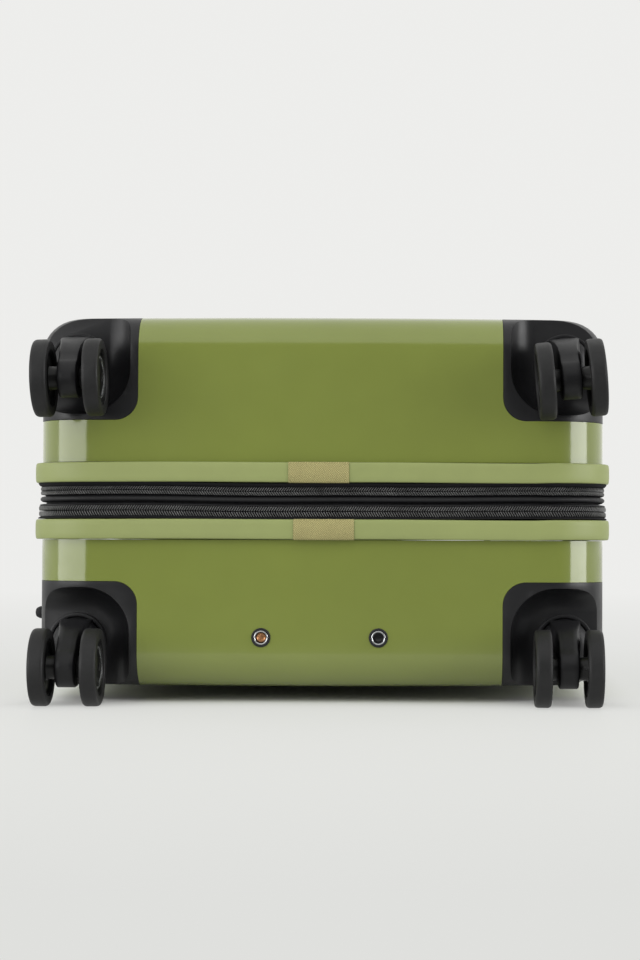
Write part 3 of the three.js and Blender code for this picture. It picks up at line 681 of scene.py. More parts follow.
def block_rings(inset, stations, face_steps=10):
    """Rings of the case's block from its rim to its big face, drawn for the back half."""
    settings = bpy.context.scene.suitcase_shell
    radius = settings.edge_radius - inset
    face = SHELL_LOW.z
    rings = [swept_ring(-inset, SHELL_HIGH.z, stations)]
    straight = SHELL_DEPTH - settings.edge_radius
    for step in range(1, 5):
        rings.append(swept_ring(-inset, SHELL_HIGH.z - straight * step / 5, stations))
    for step in range(face_steps + 1):
        angle = math.pi / 2 * step / face_steps
        back = settings.edge_radius - radius * math.cos(angle)
        height = face + settings.edge_radius - radius * math.sin(angle)
        rings.append(swept_ring(-back, height, stations))
    centre = Vector((MID_X, MID_Y, face + inset))
    edge = rings[-1]
    for share in (0.06, 0.15, 0.28, 0.43, 0.6, 0.78, 0.93):
        rings.append([point.lerp(centre, share) for point in edge])
    return rings


def crowned(mesh):
    """Swells the big face, and leaves the sides alone."""
    crown = bpy.context.scene.suitcase_shell.crown
    fades_over = 0.04
    for vert in mesh.vertices:
        depth = vert.co.z - SHELL_LOW.z
        share = max(0.0, 1.0 - depth / fades_over)
        across = (vert.co.x - MID_X) / HALF_X
        along = (vert.co.y - MID_Y) / HALF_Y
        vert.co.z += crown * share * (0.75 * across ** 2 + 0.25 * along ** 6)


def turn_to_lid(mesh):
    """Turns a back-half mesh over, about the case's middle line, onto the lid."""
    middle = Vector((MID_X, MID_Y, MID_Z))
    there, back = Matrix.Translation(middle), Matrix.Translation(-middle)
    mesh.transform(there @ Matrix.Rotation(math.pi, 4, "Y") @ back)


HOUSING_FIT = 0.0003        # between a housing and the shell round it
BEZEL_LAP = 0.0002          # how far the bezel covers the edge of its hole
LOCK_LAP = 0.0016           # the same for the lock's body, with its round corners
TUBE_HOLE = 0.0066          # radius of the holes at the tube ends


def corner_tool(side, grow):
    """The space of a back corner housing, with a round inner corner."""
    low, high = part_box("back_left_housing" if side < 0 else "back_right_housing")
    radius = bpy.context.scene.suitcase_casters.housing_round
    reach = 2 * radius
    x = (low.x - reach, high.x + grow) if side < 0 else (low.x - grow, high.x + reach)
    return box_mesh((x[0], low.y - reach, low.z - reach), (x[1], high.y + grow, high.z + grow),
                    radius + grow, 10)


def grown_box(node, grow):
    low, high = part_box(node)
    grow = Vector((grow, grow, grow))
    return box_mesh(low - grow, high + grow, 0.004, 3)


def tube_hole(name):
    low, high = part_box(f"tube_end_ring_{name}")
    profile = [(0.0, -0.01), (TUBE_HOLE, -0.01), (TUBE_HOLE, 0.01), (0.0, 0.01)]
    return spun("y", profile, 40, on_end_face(low, high))


def on_end_face(low, high):
    return Vector(((low.x + high.x) / 2, WHEEL_END, (low.z + high.z) / 2))


class SUITCASE_OT_shells(bpy.types.Operator):
    """Builds the two glossy moulded shells"""
    bl_idname = "suitcase.shells"
    bl_label = "Shells"

    def execute(self, context):
        stations = walk(0.02)
        settings = context.scene.suitcase_shell
        for half, body in HALVES.items():
            outside = block_rings(0.0, stations)
            inside = block_rings(settings.wall, stations, 6)
            mesh = mesh_of(*loft(inside[::-1] + outside))
            tools = [("DIFFERENCE", corner_tool(side, HOUSING_FIT)) for side in (-1, 1)]
            if half == "back":
                tools += [("DIFFERENCE", grown_box("trolley_bezel", -BEZEL_LAP))]
                tools += [("DIFFERENCE", tube_hole(name)) for name in SIDES]
            mesh = carve(mesh, tools)
            crowned(mesh)
            if half == "front":
                turn_to_lid(mesh)
                mesh = carve(mesh, [("DIFFERENCE", grown_box("lock_body", -LOCK_LAP))])
            dress(f"{half}_shell_moulding", mesh, body, finish("shell"), 40.0, f"{half}_shell")
        return {"FINISHED"}


# ---- the rims and the webbing over their joints ----

class SUITCASE_OT_rims(bpy.types.Operator):
    """Builds the matte rims and the webbing over their joints"""
    bl_idname = "suitcase.rims"
    bl_label = "Rims"

    def execute(self, context):
        stations = walk(0.012)
        for half, body in HALVES.items():
            low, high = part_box(f"{half}_rim")
            proud = (high.x - MID_X) - HALF_X
            wall = 0.0024
            level = (low.z + high.z) / 2
            profile = rounded([
                (-wall, low.z), (proud - 0.0006, low.z), (proud - 0.0001, level - 0.004),
                (proud - 0.0001, level + 0.004), (proud - 0.0006, high.z), (-wall, high.z)], 0.0014, 4)
            verts, faces = sweep(profile, stations, rim_wander)
            add_piece(f"{half}_rim_trim", verts, faces, body, finish("rim"), "rim", 50.0, f"{half}_rim")
            self.webbing(half, body, low.z, high.z)
        return {"FINISHED"}

    def webbing(self, half, body, bottom, top):
        """Webbing wrapped over a rim's butt joint, turned in behind its two edges."""
        node = f"{half}_joint_tape"
        low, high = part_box(node)
        front, thick, tuck = high.y + 0.0001, 0.0009, 0.0042
        bottom, top = bottom - 0.0001, top + 0.0001
        line = [(front + tuck, bottom - thick * 0.3), (front + 0.0006, bottom - thick * 0.3),
                (front - thick * 0.4, bottom + 0.0008), (front - thick * 0.6, (bottom + top) / 2),
                (front - thick * 0.4, top - 0.0008), (front + 0.0006, top + thick * 0.3),
                (front + tuck, top + thick * 0.3)]
        steps = 24
        rows = []
        for step in range(steps + 1):
            x = low.x + (high.x - low.x) * step / steps
            ripple = 0.00012 * math.sin(step * 2.1 + (0.7 if half == "back" else 0.0))
            outer = [Vector((x, y + ripple, z)) for y, z in line]
            inner = [Vector((x, y + thick * 0.5 + ripple, z + (thick * 0.4 if z < (bottom + top) / 2
                             else -thick * 0.4))) for y, z in line[::-1]]
            rows.append(outer + inner)
        add_piece(f"{half}_joint_webbing", *loft(rows), body, finish("webbing"), "webbing", 60.0, node)


def rim_wander(gone):
    rise = 0.00022 * math.sin(gone * 11.0 + 0.6) + 0.00012 * math.sin(gone * 37.0)
    return -0.0001 - 0.0001 * math.sin(gone * 23.0), rise


# ---- the zips, the band between them, the hinge strip and the gusset ----

def zip_wander(gone):
    """How the sewn cloth wanders from its true line, shared by all that is sewn together."""
    wobble = bpy.context.scene.suitcase_zips.wobble
    rise = wobble * (0.6 * math.sin(gone * 19.0 + 1.1) + 0.4 * math.sin(gone * 41.0 + 0.3))
    aside = wobble * 0.7 * (0.6 * math.sin(gone * 15.0 + 2.0) + 0.4 * math.sin(gone * 33.0))
    return aside, rise


def on_hinge(place):
    strip_low, strip_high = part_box("hinge_strip")
    return place.x < MID_X - HALF_X * 0.9 and strip_low.y < place.y < strip_high.y


def coil_row(stations, pitch, inner, outer, offset, lean, leave_out=None):
    """A row of coil turns between two heights, each a small leaning bar with a round back."""
    verts, faces = [], []
    total = stations[-1][2] + (stations[0][0] - stations[-1][0]).length
    count = int(total / pitch)
    at = 0
    width, bulge = pitch * 0.22, 0.0013
    for index in range(count):
        gone = (index + 0.5) * total / count
        while at + 1 < len(stations) and stations[at + 1][2] <= gone:
            at += 1
        place, out, start = stations[at]
        following = stations[(at + 1) % len(stations)]
        run = (following[0] - place).length
        share = (gone - start) / run if run > 1e-9 else 0.0
        spot = place.lerp(following[0], share)
        out = out.lerp(following[1], share).normalized()
        if leave_out and leave_out(spot):
            continue
        along = Vector((-out.y, out.x))
        aside, rise = zip_wander(gone)
        first = len(verts)
        for part in (0.0, 0.3, 0.7, 1.0):
            height = inner + (outer - inner) * part + rise
            shift = lean * (part - 0.5) * pitch
            lift = offset + aside + bulge * (0.35 + 0.65 * math.sin(math.pi * (0.12 + 0.76 * part)))
            for side, up in ((-1, 0.0), (0, 1.0), (1, 0.0), (0, -0.6)):
                reach = lift - bulge * 0.45 * (1.0 - up)
                flat = spot + along * (shift + side * width) + out * reach
                verts.append(Vector((flat.x, flat.y, height)))
        for row in range(3):
            for k in range(4):
                a, b = first + row * 4, first + (row + 1) * 4
                faces.append((a + k, a + (k + 1) % 4, b + (k + 1) % 4, b + k))
        faces.append((first + 3, first + 2, first + 1, first))
        faces.append((first + 12, first + 13, first + 14, first + 15))
    return verts, faces


class SUITCASE_OT_zips(bpy.types.Operator):
    """Builds both coil zips, the band and gusset between them and the cloth hinge"""
    bl_idname = "suitcase.zips"
    bl_label = "Zips"

    def execute(self, context):
        settings = context.scene.suitcase_zips
        stations = walk(0.012)
        main, lower = MID_Z + settings.main_height, MID_Z + settings.lower_height
        lid_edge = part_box("front_rim")[0].z - 0.0004
        back_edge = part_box("back_rim")[1].z + 0.0004
        self.tapes(stations, main, lower, lid_edge, back_edge)
        self.coils(stations, settings.pitch, main, lower)
        self.gusset(lower, back_edge)
        self.hinge(main)
        for node in ("main_zip_slider_a", "main_zip_slider_b", "expansion_zip_slider"):
            refined(node, f"{node}_pull", body_of_node(node), finish("dark_metal"), 0.0006)
        return {"FINISHED"}

    def tapes(self, stations, main, lower, lid_edge, back_edge):
        inner = -0.005
        lid_half = [(inner, main + 0.0003), (-0.0010, main + 0.0003), (-0.0006, main + 0.0031),
                    (0.0010, main + 0.0037), (0.0022, main + 0.0046), (0.0032, lid_edge), (inner, lid_edge)]
        band = [(inner, main - 0.0003), (inner, lower + 0.0003), (0.0006, lower + 0.0003),
                (0.0010, lower + 0.0039), (0.0021, lower + 0.0045), (0.0012, lower + 0.0054),
                (-0.0036, lower + 0.0060), (-0.0034, lower + 0.0066), (-0.0004, lower + 0.0072),
                (0.0012, lower + 0.0084), (0.0014, lower + 0.0098), (0.0002, lower + 0.0112),
                (-0.0030, lower + 0.0118), (-0.0026, main - 0.0036), (-0.0006, main - 0.0031),
                (-0.0010, main - 0.0003)]
        back_half = [(inner, back_edge), (0.0034, back_edge), (0.0026, lower - 0.0050),
                     (0.0012, lower - 0.0044), (0.0010, lower - 0.0039), (0.0006, lower - 0.0003),
                     (inner, lower - 0.0003)]
        rows = (("main_zip_lid_tape", lid_half, "lid", "main_zip_lid_half", "zip_tape"),
                ("zip_band_cloth", band, "mid_frame", "zip_band", "fold_cloth"),
                ("expansion_zip_back_tape", back_half, "case_back", "expansion_zip_back_half", "zip_tape"))
        for name, profile, body, node, look in rows:
            verts, faces = sweep(rounded(profile, 0.0005, 2), stations, zip_wander)
            add_piece(name, verts, faces, body, finish(look), "zip", 60.0, node)

    def coils(self, stations, pitch, main, lower):
        fine = walk(0.006)
        rows = (("main_zip_lid_coil", main + 0.0002, main + 0.0031, -0.0001, 1.1, "lid", on_hinge),
                ("main_zip_band_coil", main - 0.0002, main - 0.0031, -0.0001, 1.1, "mid_frame", on_hinge),
                ("expansion_zip_band_coil", lower + 0.0003, lower + 0.0039, 0.0013, 1.1, "mid_frame", None),
                ("expansion_zip_back_coil", lower - 0.0003, lower - 0.0041, 0.0013, 1.1, "case_back", None))
        for name, inner, outer, offset, lean, body, leave_out in rows:
            verts, faces = coil_row(fine, pitch, inner, outer, offset, lean, leave_out)
            add_piece(name, verts, faces, body, finish("zip_coil"), "zip", 60.0)

    def gusset(self, lower, back_edge):
        """The folded cloth behind the expansion zip, as a fixed pleated sheet; the real one is drawn out flat as
        the case expands, this one stays as it is.
        """
        stations = walk(0.02)
        bottom, top = back_edge + 0.0006, lower + 0.0050
        rows = 16
        outer, inner = [], []
        for row in range(rows + 1):
            share = row / rows
            height = bottom + (top - bottom) * share
            pleat = 0.0006 * math.sin(share * math.pi * 4)
            outer.append(swept_ring(-0.0066 + pleat, height, stations))
            inner.append(swept_ring(-0.0074 + pleat, height, stations))
        rings = outer + inner[::-1] + [outer[0]]
        mesh = mesh_of(*loft(rings, caps=False))
        piece = dress("expansion_gusset_cloth", mesh, None, finish("black_cloth"), 60.0)
        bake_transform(piece)
        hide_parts("expansion_gusset")

    def hinge(self, main):
        """The cloth strip that the lid turns on."""
        low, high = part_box("hinge_strip")
        x_out = low.x + 0.0003
        rise = 0.0068
        rows = []
        steps_along, steps_up = 40, 14
        for i in range(steps_along + 1):
            y = low.y + (high.y - low.y) * i / steps_along
            line = []
            for k in range(steps_up + 1):
                z = main - rise + 2 * rise * k / steps_up
                fold = 0.0006 * math.sin(math.pi * k / steps_up)
                line.append(Vector((x_out + 0.0012 - fold, y, z)))
            rows.append(line + [Vector((p.x + 0.0008, p.y, p.z)) for p in line[::-1]])
        piece = dress("hinge_strip_cloth", mesh_of(*loft(rows)), None, finish("black_cloth"), 60.0)
        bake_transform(piece)
        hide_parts("hinge_strip")


# ---- the corner housings ----

def caster_axis(half, name):
    """Where a caster's swivel axis crosses the end face."""
    joint = next(j for j in frame["joints"] if j["name"] == f"{half}_{name}_swivel")
    return Vector(joint["pos_m"])


class SUITCASE_OT_housings(bpy.types.Operator):
    """Builds the four corner housings, each with a bowl for its caster"""
    bl_idname = "suitcase.housings"
    bl_label = "Corner housings"

    def execute(self, context):
        settings = context.scene.suitcase_casters
        stations = walk(0.02)
        for side in (-1, 1):
            block = mesh_of(*loft(block_rings(0.0, stations)))
            place = Matrix.Translation(caster_axis("back", "left" if side < 0 else "right"))
            bowl, socket, well = self.bowl(settings, side), self.socket(settings), self.well(settings)
            for mesh in (bowl, socket, well):
                mesh.transform(place)
            made = carve(block, [("INTERSECT", corner_tool(side, 0.0)), ("DIFFERENCE", bowl),
                                 ("UNION", socket), ("DIFFERENCE", well)])
            made = soften(made, 0.0009, 3, 40.0)
            crowned(made)
            for half, body in HALVES.items():
                mesh = made.copy()
                label = {-1: "left", 1: "right"}[side if half == "back" else -side]
                if half == "front":
                    turn_to_lid(mesh)
                node = f"{half}_{label}_housing"
                dress(f"{node}_moulding", mesh, body, finish("housing"), 40.0, node)
        return {"FINISHED"}

    def bowl(self, settings, side):
        """The scoop: a bowl with a flat floor, open towards the case's side and big face."""
        rings = [mouth_ring(settings.scoop_reach, settings.scoop_round, side, -0.05)]
        for step in range(13):
            angle = math.pi / 2 * step / 12
            spread = (settings.scoop_reach - settings.scoop_floor) * (1 - math.cos(angle))
            rings.append(mouth_ring(settings.scoop_reach - spread, settings.scoop_round - spread, side,
                                    settings.scoop_depth * math.sin(angle)))
        return mesh_of(*loft(rings))

    def socket(self, settings):
        """The raised ring on the scoop's floor."""
        outer, inner, depth = settings.socket_radius, settings.dome_radius + 0.0009, settings.scoop_depth
        profile = rounded([(inner, depth - 0.003), (outer, depth - 0.003), (outer, depth + 0.001),
                           (inner, depth + 0.001)], 0.0008, 3)
        return spun("y", profile, 72)

    def well(self, settings):
        """The deep gap between the dome and its ring."""
        radius, depth = settings.dome_radius + 0.0009, settings.scoop_depth
        return spun("y", [(0.0, depth - 0.001), (radius, depth - 0.001), (radius, depth + 0.0015),
                          (0.0, depth + 0.0015)], 72)


def mouth_ring(reach, radius, side, y):
    """A round-cornered outline about a swivel axis, running out of the case at its side and big face."""
    far = 0.09
    points = [(far, reach)]
    for step in range(17):
        angle = math.pi / 2 + math.pi / 2 * step / 16
        points.append((-reach + radius + radius * math.cos(angle), reach - radius + radius * math.sin(angle)))
    points += [(-reach, -far), (far, -far)]
    return [Vector((side * u, y, v)) for u, v in points]


# ---- the casters ----

def curve(a, b, c, steps=8):
    a, b, c = Vector(a), Vector(b), Vector(c)
    return [tuple(a.lerp(b, k / steps).lerp(b.lerp(c, k / steps), k / steps)) for k in range(1, steps + 1)]


def fork_blade():
    """The fork's arm between the wheels, drawn with the swivel axis along y through the origin."""
    settings = bpy.context.scene.suitcase_casters
    reach, trail = axle_place()
    boss, root = 0.0155, settings.scoop_depth - 0.004
    top = settings.dome_radius - 0.001
    start, end = math.radians(112), math.radians(270)
    boss_top = (-reach + boss * math.cos(start), -trail + boss * math.sin(start))
    line = [(root, top)] + curve((root, top), (-0.016, top), boss_top)
    line += [(-reach + boss * math.cos(start + (end - start) * k / 14),
              -trail + boss * math.sin(start + (end - start) * k / 14)) for k in range(1, 15)]
    line += curve((-reach, -trail - boss), (0.002, -trail - boss), (root, 0.002 - settings.dome_radius))
    half = settings.blade / 2
    rows = []
    centre = Vector((-0.012, -0.006))
    for share in (-1.0, -0.95, -0.85, -0.4, 0.0, 0.4, 0.85, 0.95, 1.0):
        inset = 0.0012 * (max(0.0, abs(share) - 0.85) / 0.15) ** 2
        row = []
        for y, z in line:
            flare = half + 0.0045 * max(0.0, min(1.0, (z - 0.004) / (top - 0.004))) ** 2.5
            point = Vector((y, z)) + (centre - Vector((y, z))).normalized() * inset
            row.append(Vector((share * flare, point.x, point.y)))
        rows.append(row)
    return loft(rows)


def axle_place():
    low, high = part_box("back_left_axle")
    axis = caster_axis("back", "left")
    middle = (low + high) / 2
    return axis.y - middle.y, axis.z - middle.z


TYRE_DEPTH = 0.0085


def wheel_tyre(side, inner, outer, radius):
    rim = radius - TYRE_DEPTH
    profile = rounded([(rim, inner), (radius - 0.0011, inner), (radius, inner + 0.0019),
                       (radius - 0.0001, outer - 0.0019), (radius - 0.0011, outer), (rim, outer)], 0.0012, 4)
    return turned("x", [(r, side * h) for r, h in profile], 72)


def wheel_hub(side, inner, outer, radius, hub_start):
    rim = radius - TYRE_DEPTH
    profile = rounded([(0.0034, hub_start), (0.0085, hub_start), (0.0095, inner + 0.0015),
                       (rim - 0.003, inner + 0.0025), (rim - 0.0006, inner + 0.0008),
                       (rim - 0.0002, inner + 0.0008), (rim - 0.0002, outer - 0.0012),
                       (rim - 0.0016, outer - 0.0012), (rim - 0.003, outer - 0.0030),
                       (0.012, outer - 0.0022), (0.0095, outer - 0.0012), (0.0034, outer - 0.001)], 0.0007, 3)
    return turned("x", [(r, side * h) for r, h in profile], 64)


class SUITCASE_OT_casters(bpy.types.Operator):
    """Builds the four casters: forks, tyres, hubs and axles"""
    bl_idname = "suitcase.casters"
    bl_label = "Casters"

    def execute(self, context):
        settings = context.scene.suitcase_casters
        reach, trail = axle_place()
        wheel_low, wheel_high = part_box("back_left_wheel_b")
        axis = caster_axis("back", "left")
        radius = (wheel_high.z - wheel_low.z) / 2
        outer = wheel_high.x - axis.x
        inner = outer - 0.0125
        hub_start = wheel_low.x - axis.x
        for half in HALVES:
            for name in SIDES:
                stem = f"{half}_{name}"
                roll = next(j for j in frame["joints"] if j["name"] == f"{stem}_wheel_a_roll")
                turn = math.atan2(-roll["axis"][2], roll["axis"][0])
                place = Matrix.Translation(caster_axis(half, name)) @ Matrix.Rotation(turn, 4, "Y")
                self.fork(stem, place, settings)
                for tag, side in (("a", -1), ("b", 1)):
                    self.wheel(stem, tag, side, place, (inner, outer, radius, hub_start), (reach, trail))
                paint_node(f"{stem}_axle", finish("chrome"))
        return {"FINISHED"}

    def fork(self, stem, place, settings):
        blade = mesh_of(*fork_blade())
        radius, depth = settings.dome_radius, settings.scoop_depth
        profile = rounded([(0.0, depth - 0.0004), (radius, depth - 0.0004), (radius, depth - 0.0065),
                           (radius - 0.002, depth - 0.0095), (radius - 0.006, depth - 0.012),
                           (0.0, depth - 0.0135)], 0.0016, 4)
        dome = spun("y", profile, 64)
        for mesh, part, node in ((blade, "fork_arm", f"{stem}_fork"), (dome, "fork_dome", None)):
            mesh.transform(place)
            dress(f"{stem}_{part}", mesh, f"{stem}_caster", finish("fork"), 45.0, node)

    def wheel(self, stem, tag, side, place, sizes, axle):
        inner, outer, radius, hub_start = sizes
        at = place @ Matrix.Translation((0.0, -axle[0], -axle[1]))
        wheel = f"{stem}_wheel_{tag}"
        parts = (("tyre", wheel_tyre(side, inner, outer, radius), "tyre"),
                 ("hub", wheel_hub(side, inner, outer, radius, hub_start), "hub"),
                 ("ring", self.pinstripe(side, inner, outer), "silver_mark"))
        for part, (verts, faces), look in parts:
            mesh = mesh_of(verts, faces)
            mesh.transform(at)
            dress(f"{wheel}_{part}", mesh, f"{wheel}_spin", finish(look), 40.0,
                  wheel if part == "tyre" else None)

    def pinstripe(self, side, inner, outer):
        """A plain silver ring let into the hub's outer face."""
        profile = [(0.0150, outer - 0.0030), (0.0162, outer - 0.0030), (0.0162, outer - 0.0019),
                   (0.0150, outer - 0.0019)]
        return turned("x", [(r, side * h) for r, h in profile], 64)


# ---- the tube ends on the wheel-end face, and the side feet ----

class SUITCASE_OT_tube_ends(bpy.types.Operator):
    """Builds the two ringed holes at the ends of the trolley tubes, and the side feet"""
    bl_idname = "suitcase.tube_ends"
    bl_label = "Tube ends and feet"

    def execute(self, context):
        for name in SIDES:
            node = f"tube_end_ring_{name}"
            low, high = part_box(node)
            middle = on_end_face(low, high)
            black = rounded([(0.0058, 0.003), (0.0058, -0.0008), (0.0066, -0.0012), (0.0075, -0.0006),
                             (0.0075, -0.0002), (0.0062, -0.0001), (0.0062, 0.003)], 0.0004, 3)
            chrome = rounded([(0.00435, 0.0045), (0.00435, -0.0006), (0.0049, -0.0011), (0.0055, -0.0010),
                              (0.0057, -0.0004), (0.0057, 0.0045)], 0.0004, 3)
            for part, profile, look in (("seal", black, "rubber"), ("eyelet", chrome, "chrome")):
                dress(f"tube_end_{part}_{name}", spun("y", profile, 48, middle), "case_back", finish(look),
                      40.0, node if part == "eyelet" else None)
            well = rounded([(0.0, 0.0042), (0.0044, 0.0042), (0.0044, 0.0075), (0.0, 0.0075)], 0.0003, 2)
            dress(f"tube_end_well_{name}", spun("y", well, 32, middle), "case_back", finish("gloss_black"),
                  40.0)
        self.screw()
        self.feet()
        return {"FINISHED"}

    def screw(self):
        low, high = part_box("tube_end_screw")
        profile = rounded([(0.0, 0.0015), (0.002, 0.0016), (0.0036, 0.0024), (0.0038, 0.0031),
                           (0.0038, 0.0040), (0.0, 0.0040)], 0.0003, 3)
        head = spun("y", profile, 40)
        slots = [("DIFFERENCE", box_mesh((-0.0022, 0.0, -0.0004), (0.0022, 0.0024, 0.0004))),
                 ("DIFFERENCE", box_mesh((-0.0004, 0.0, -0.0022), (0.0004, 0.0024, 0.0022)))]
        head = carve(head, slots)
        head.transform(Matrix.Translation(on_end_face(low, high)) @ Matrix.Rotation(math.radians(20), 4, "Y"))
        dress("tube_end_screw_head", head, "case_back", finish("copper"), 30.0, "tube_end_screw")

    def feet(self):
        for node in ("side_foot_wheel_end", "side_foot_top_end"):
            low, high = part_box(node)
            radius = (high.z - low.z) / 2
            tall = high.x - low.x - 0.0025
            profile = rounded([(0.0, -0.001), (radius, -0.001), (radius, tall - 0.004),
                               (radius - 0.0016, tall - 0.0008), (0.0, tall)], 0.0012, 5)
            mesh = spun("x", [(r, -h) for r, h in profile], 40,
                        Vector((SHELL_LOW.x, (low.y + high.y) / 2, (low.z + high.z) / 2)))
            dress(f"{node}_pad", mesh, "case_back", finish("rubber"), 45.0, node)


# ---- the trolley handle ----

class SUITCASE_OT_trolley(bpy.types.Operator):
    """Dresses the trolley handle: bezel, grip, button and tubes"""
    bl_idname = "suitcase.trolley"
    bl_label = "Trolley handle"

    def execute(self, context):
        black = finish("black_plastic")
        refined("trolley_bezel", "trolley_bezel_tray", "case_back", black)
        refined("trolley_grip", "trolley_grip_bar", "trolley_handle", black, 0.0012)
        refined("trolley_button", "trolley_push_key", "trolley_push_button", finish("gloss_black"),
                0.0007)
        for node in ("trolley_frame", "trolley_middle_tube_left", "trolley_middle_tube_right"):
            paint_node(node, finish("aluminium"))
        return {"FINISHED"}


class SUITCASE_OT_carry_handles(bpy.types.Operator):
    """Dresses the two sprung carry handles and their bases"""
    bl_idname = "suitcase.carry_handles"
    bl_label = "Carry handles"

    def execute(self, context):
        for name in ("top", "side"):
            handle, look = f"{name}_handle", finish("black_plastic")
            refined(handle, f"{handle}_bar", f"{name}_carry", look, 0.001)
            refined(f"{handle}_base", f"{handle}_plate", "case_back", look)
        return {"FINISHED"}


class SUITCASE_OT_lock(bpy.types.Operator):
    """Dresses the combination lock, with figures on its dials"""
    bl_idname = "suitcase.lock"
    bl_label = "Lock"

    def execute(self, context):
        refined("lock_body", "lock_case", "lid", finish("gloss_black"))
        refined("lock_button", "lock_release_key", "lock_release", finish("dark_metal"), 0.0007)
        for index, figure in enumerate("052", start=1):
            node = f"lock_dial_{index}"
            low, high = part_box(node)
            middle = (low + high) / 2
            radius, half = (high.z - low.z) / 2, (high.y - low.y) / 2
            profile = rounded([(0.0, -half), (radius, -half), (radius, half), (0.0, half)], 0.0006, 3)
            dress(f"{node}_wheel", spun("y", profile, 30, middle), f"dial_{index}", finish("dark_metal"),
                  20.0, node)
            self.figure(figure, index, middle, radius)
        return {"FINISHED"}

    def figure(self, text, index, place, radius):
        """A printed figure wrapped round its dial, so that it turns with room to spare."""
        letter = bpy.data.curves.new(f"dial_figure_{index}", "FONT")
        letter.body = text
        letter.size = 0.0042
        letter.extrude = 0.00005
        letter.align_x = letter.align_y = "CENTER"
        mesh = settled(held("figure", letter))
        clear = 0.00003
        with edited(mesh) as shape:
            divided(shape, 0.0004, 5)
            for vert in shape.verts:
                across, along, proud = vert.co
                angle, reach = along / radius, radius + clear + proud
                vert.co = place + Vector((reach * math.cos(angle), across, reach * math.sin(angle)))
        dress(f"lock_dial_{index}_figure", mesh, f"dial_{index}", finish("white_mark"), 30.0)


# ---- soft pieces inside ----

def soft_copy(node, name, look, spacing=0.018, wrinkle=0.0008, seed=3):
    """A soft piece in a frame node's place: finely divided, with slow wrinkles."""
    shape = bmesh.new()
    shape.from_mesh(frame["nodes"][node].data)
    bmesh.ops.remove_doubles(shape, verts=shape.verts, dist=1e-5)
    divided(shape, spacing, 7)
    shape.normal_update()
    rng = random.Random(seed)
    waves = [(Vector((rng.uniform(-1, 1), rng.uniform(-1, 1), rng.uniform(-1, 1))).normalized()
              * rng.uniform(25, 70), rng.uniform(0, 6)) for _ in range(9)]
    for vert in shape.verts:
        push = sum(math.sin(vert.co.dot(way) + phase) for way, phase in waves) / 9
        vert.co += Vector((push, push * 0.6, push)) * wrinkle
    mesh = bpy.data.meshes.new(name)
    shape.to_mesh(mesh)
    shape.free()
    return dress(name, mesh, body_of_node(node), finish(look), 60.0, node)


class SUITCASE_OT_inside(bpy.types.Operator):
    """Builds the linings, the divider, the packing straps and their buckle"""
    bl_idname = "suitcase.inside"
    bl_label = "Inside"

    def execute(self, context):
        soft_copy("back_lining", "back_lining_cloth", "lining", seed=5)
        soft_copy("front_lining", "front_lining_cloth", "lining", seed=8)
        divider = soft_copy("divider_panel", "divider_cloth", "black_cloth", 0.02, 0.0012, seed=11)
        soft_copy("packing_straps", "packing_strap_webbing", "black_cloth", 0.01, 0.0004, seed=14)
        refined("strap_buckle", "strap_buckle_plate", "case_back", finish("gloss_black"),
                0.0015, 4)
        return {"FINISHED"}


# ---- the stage ----

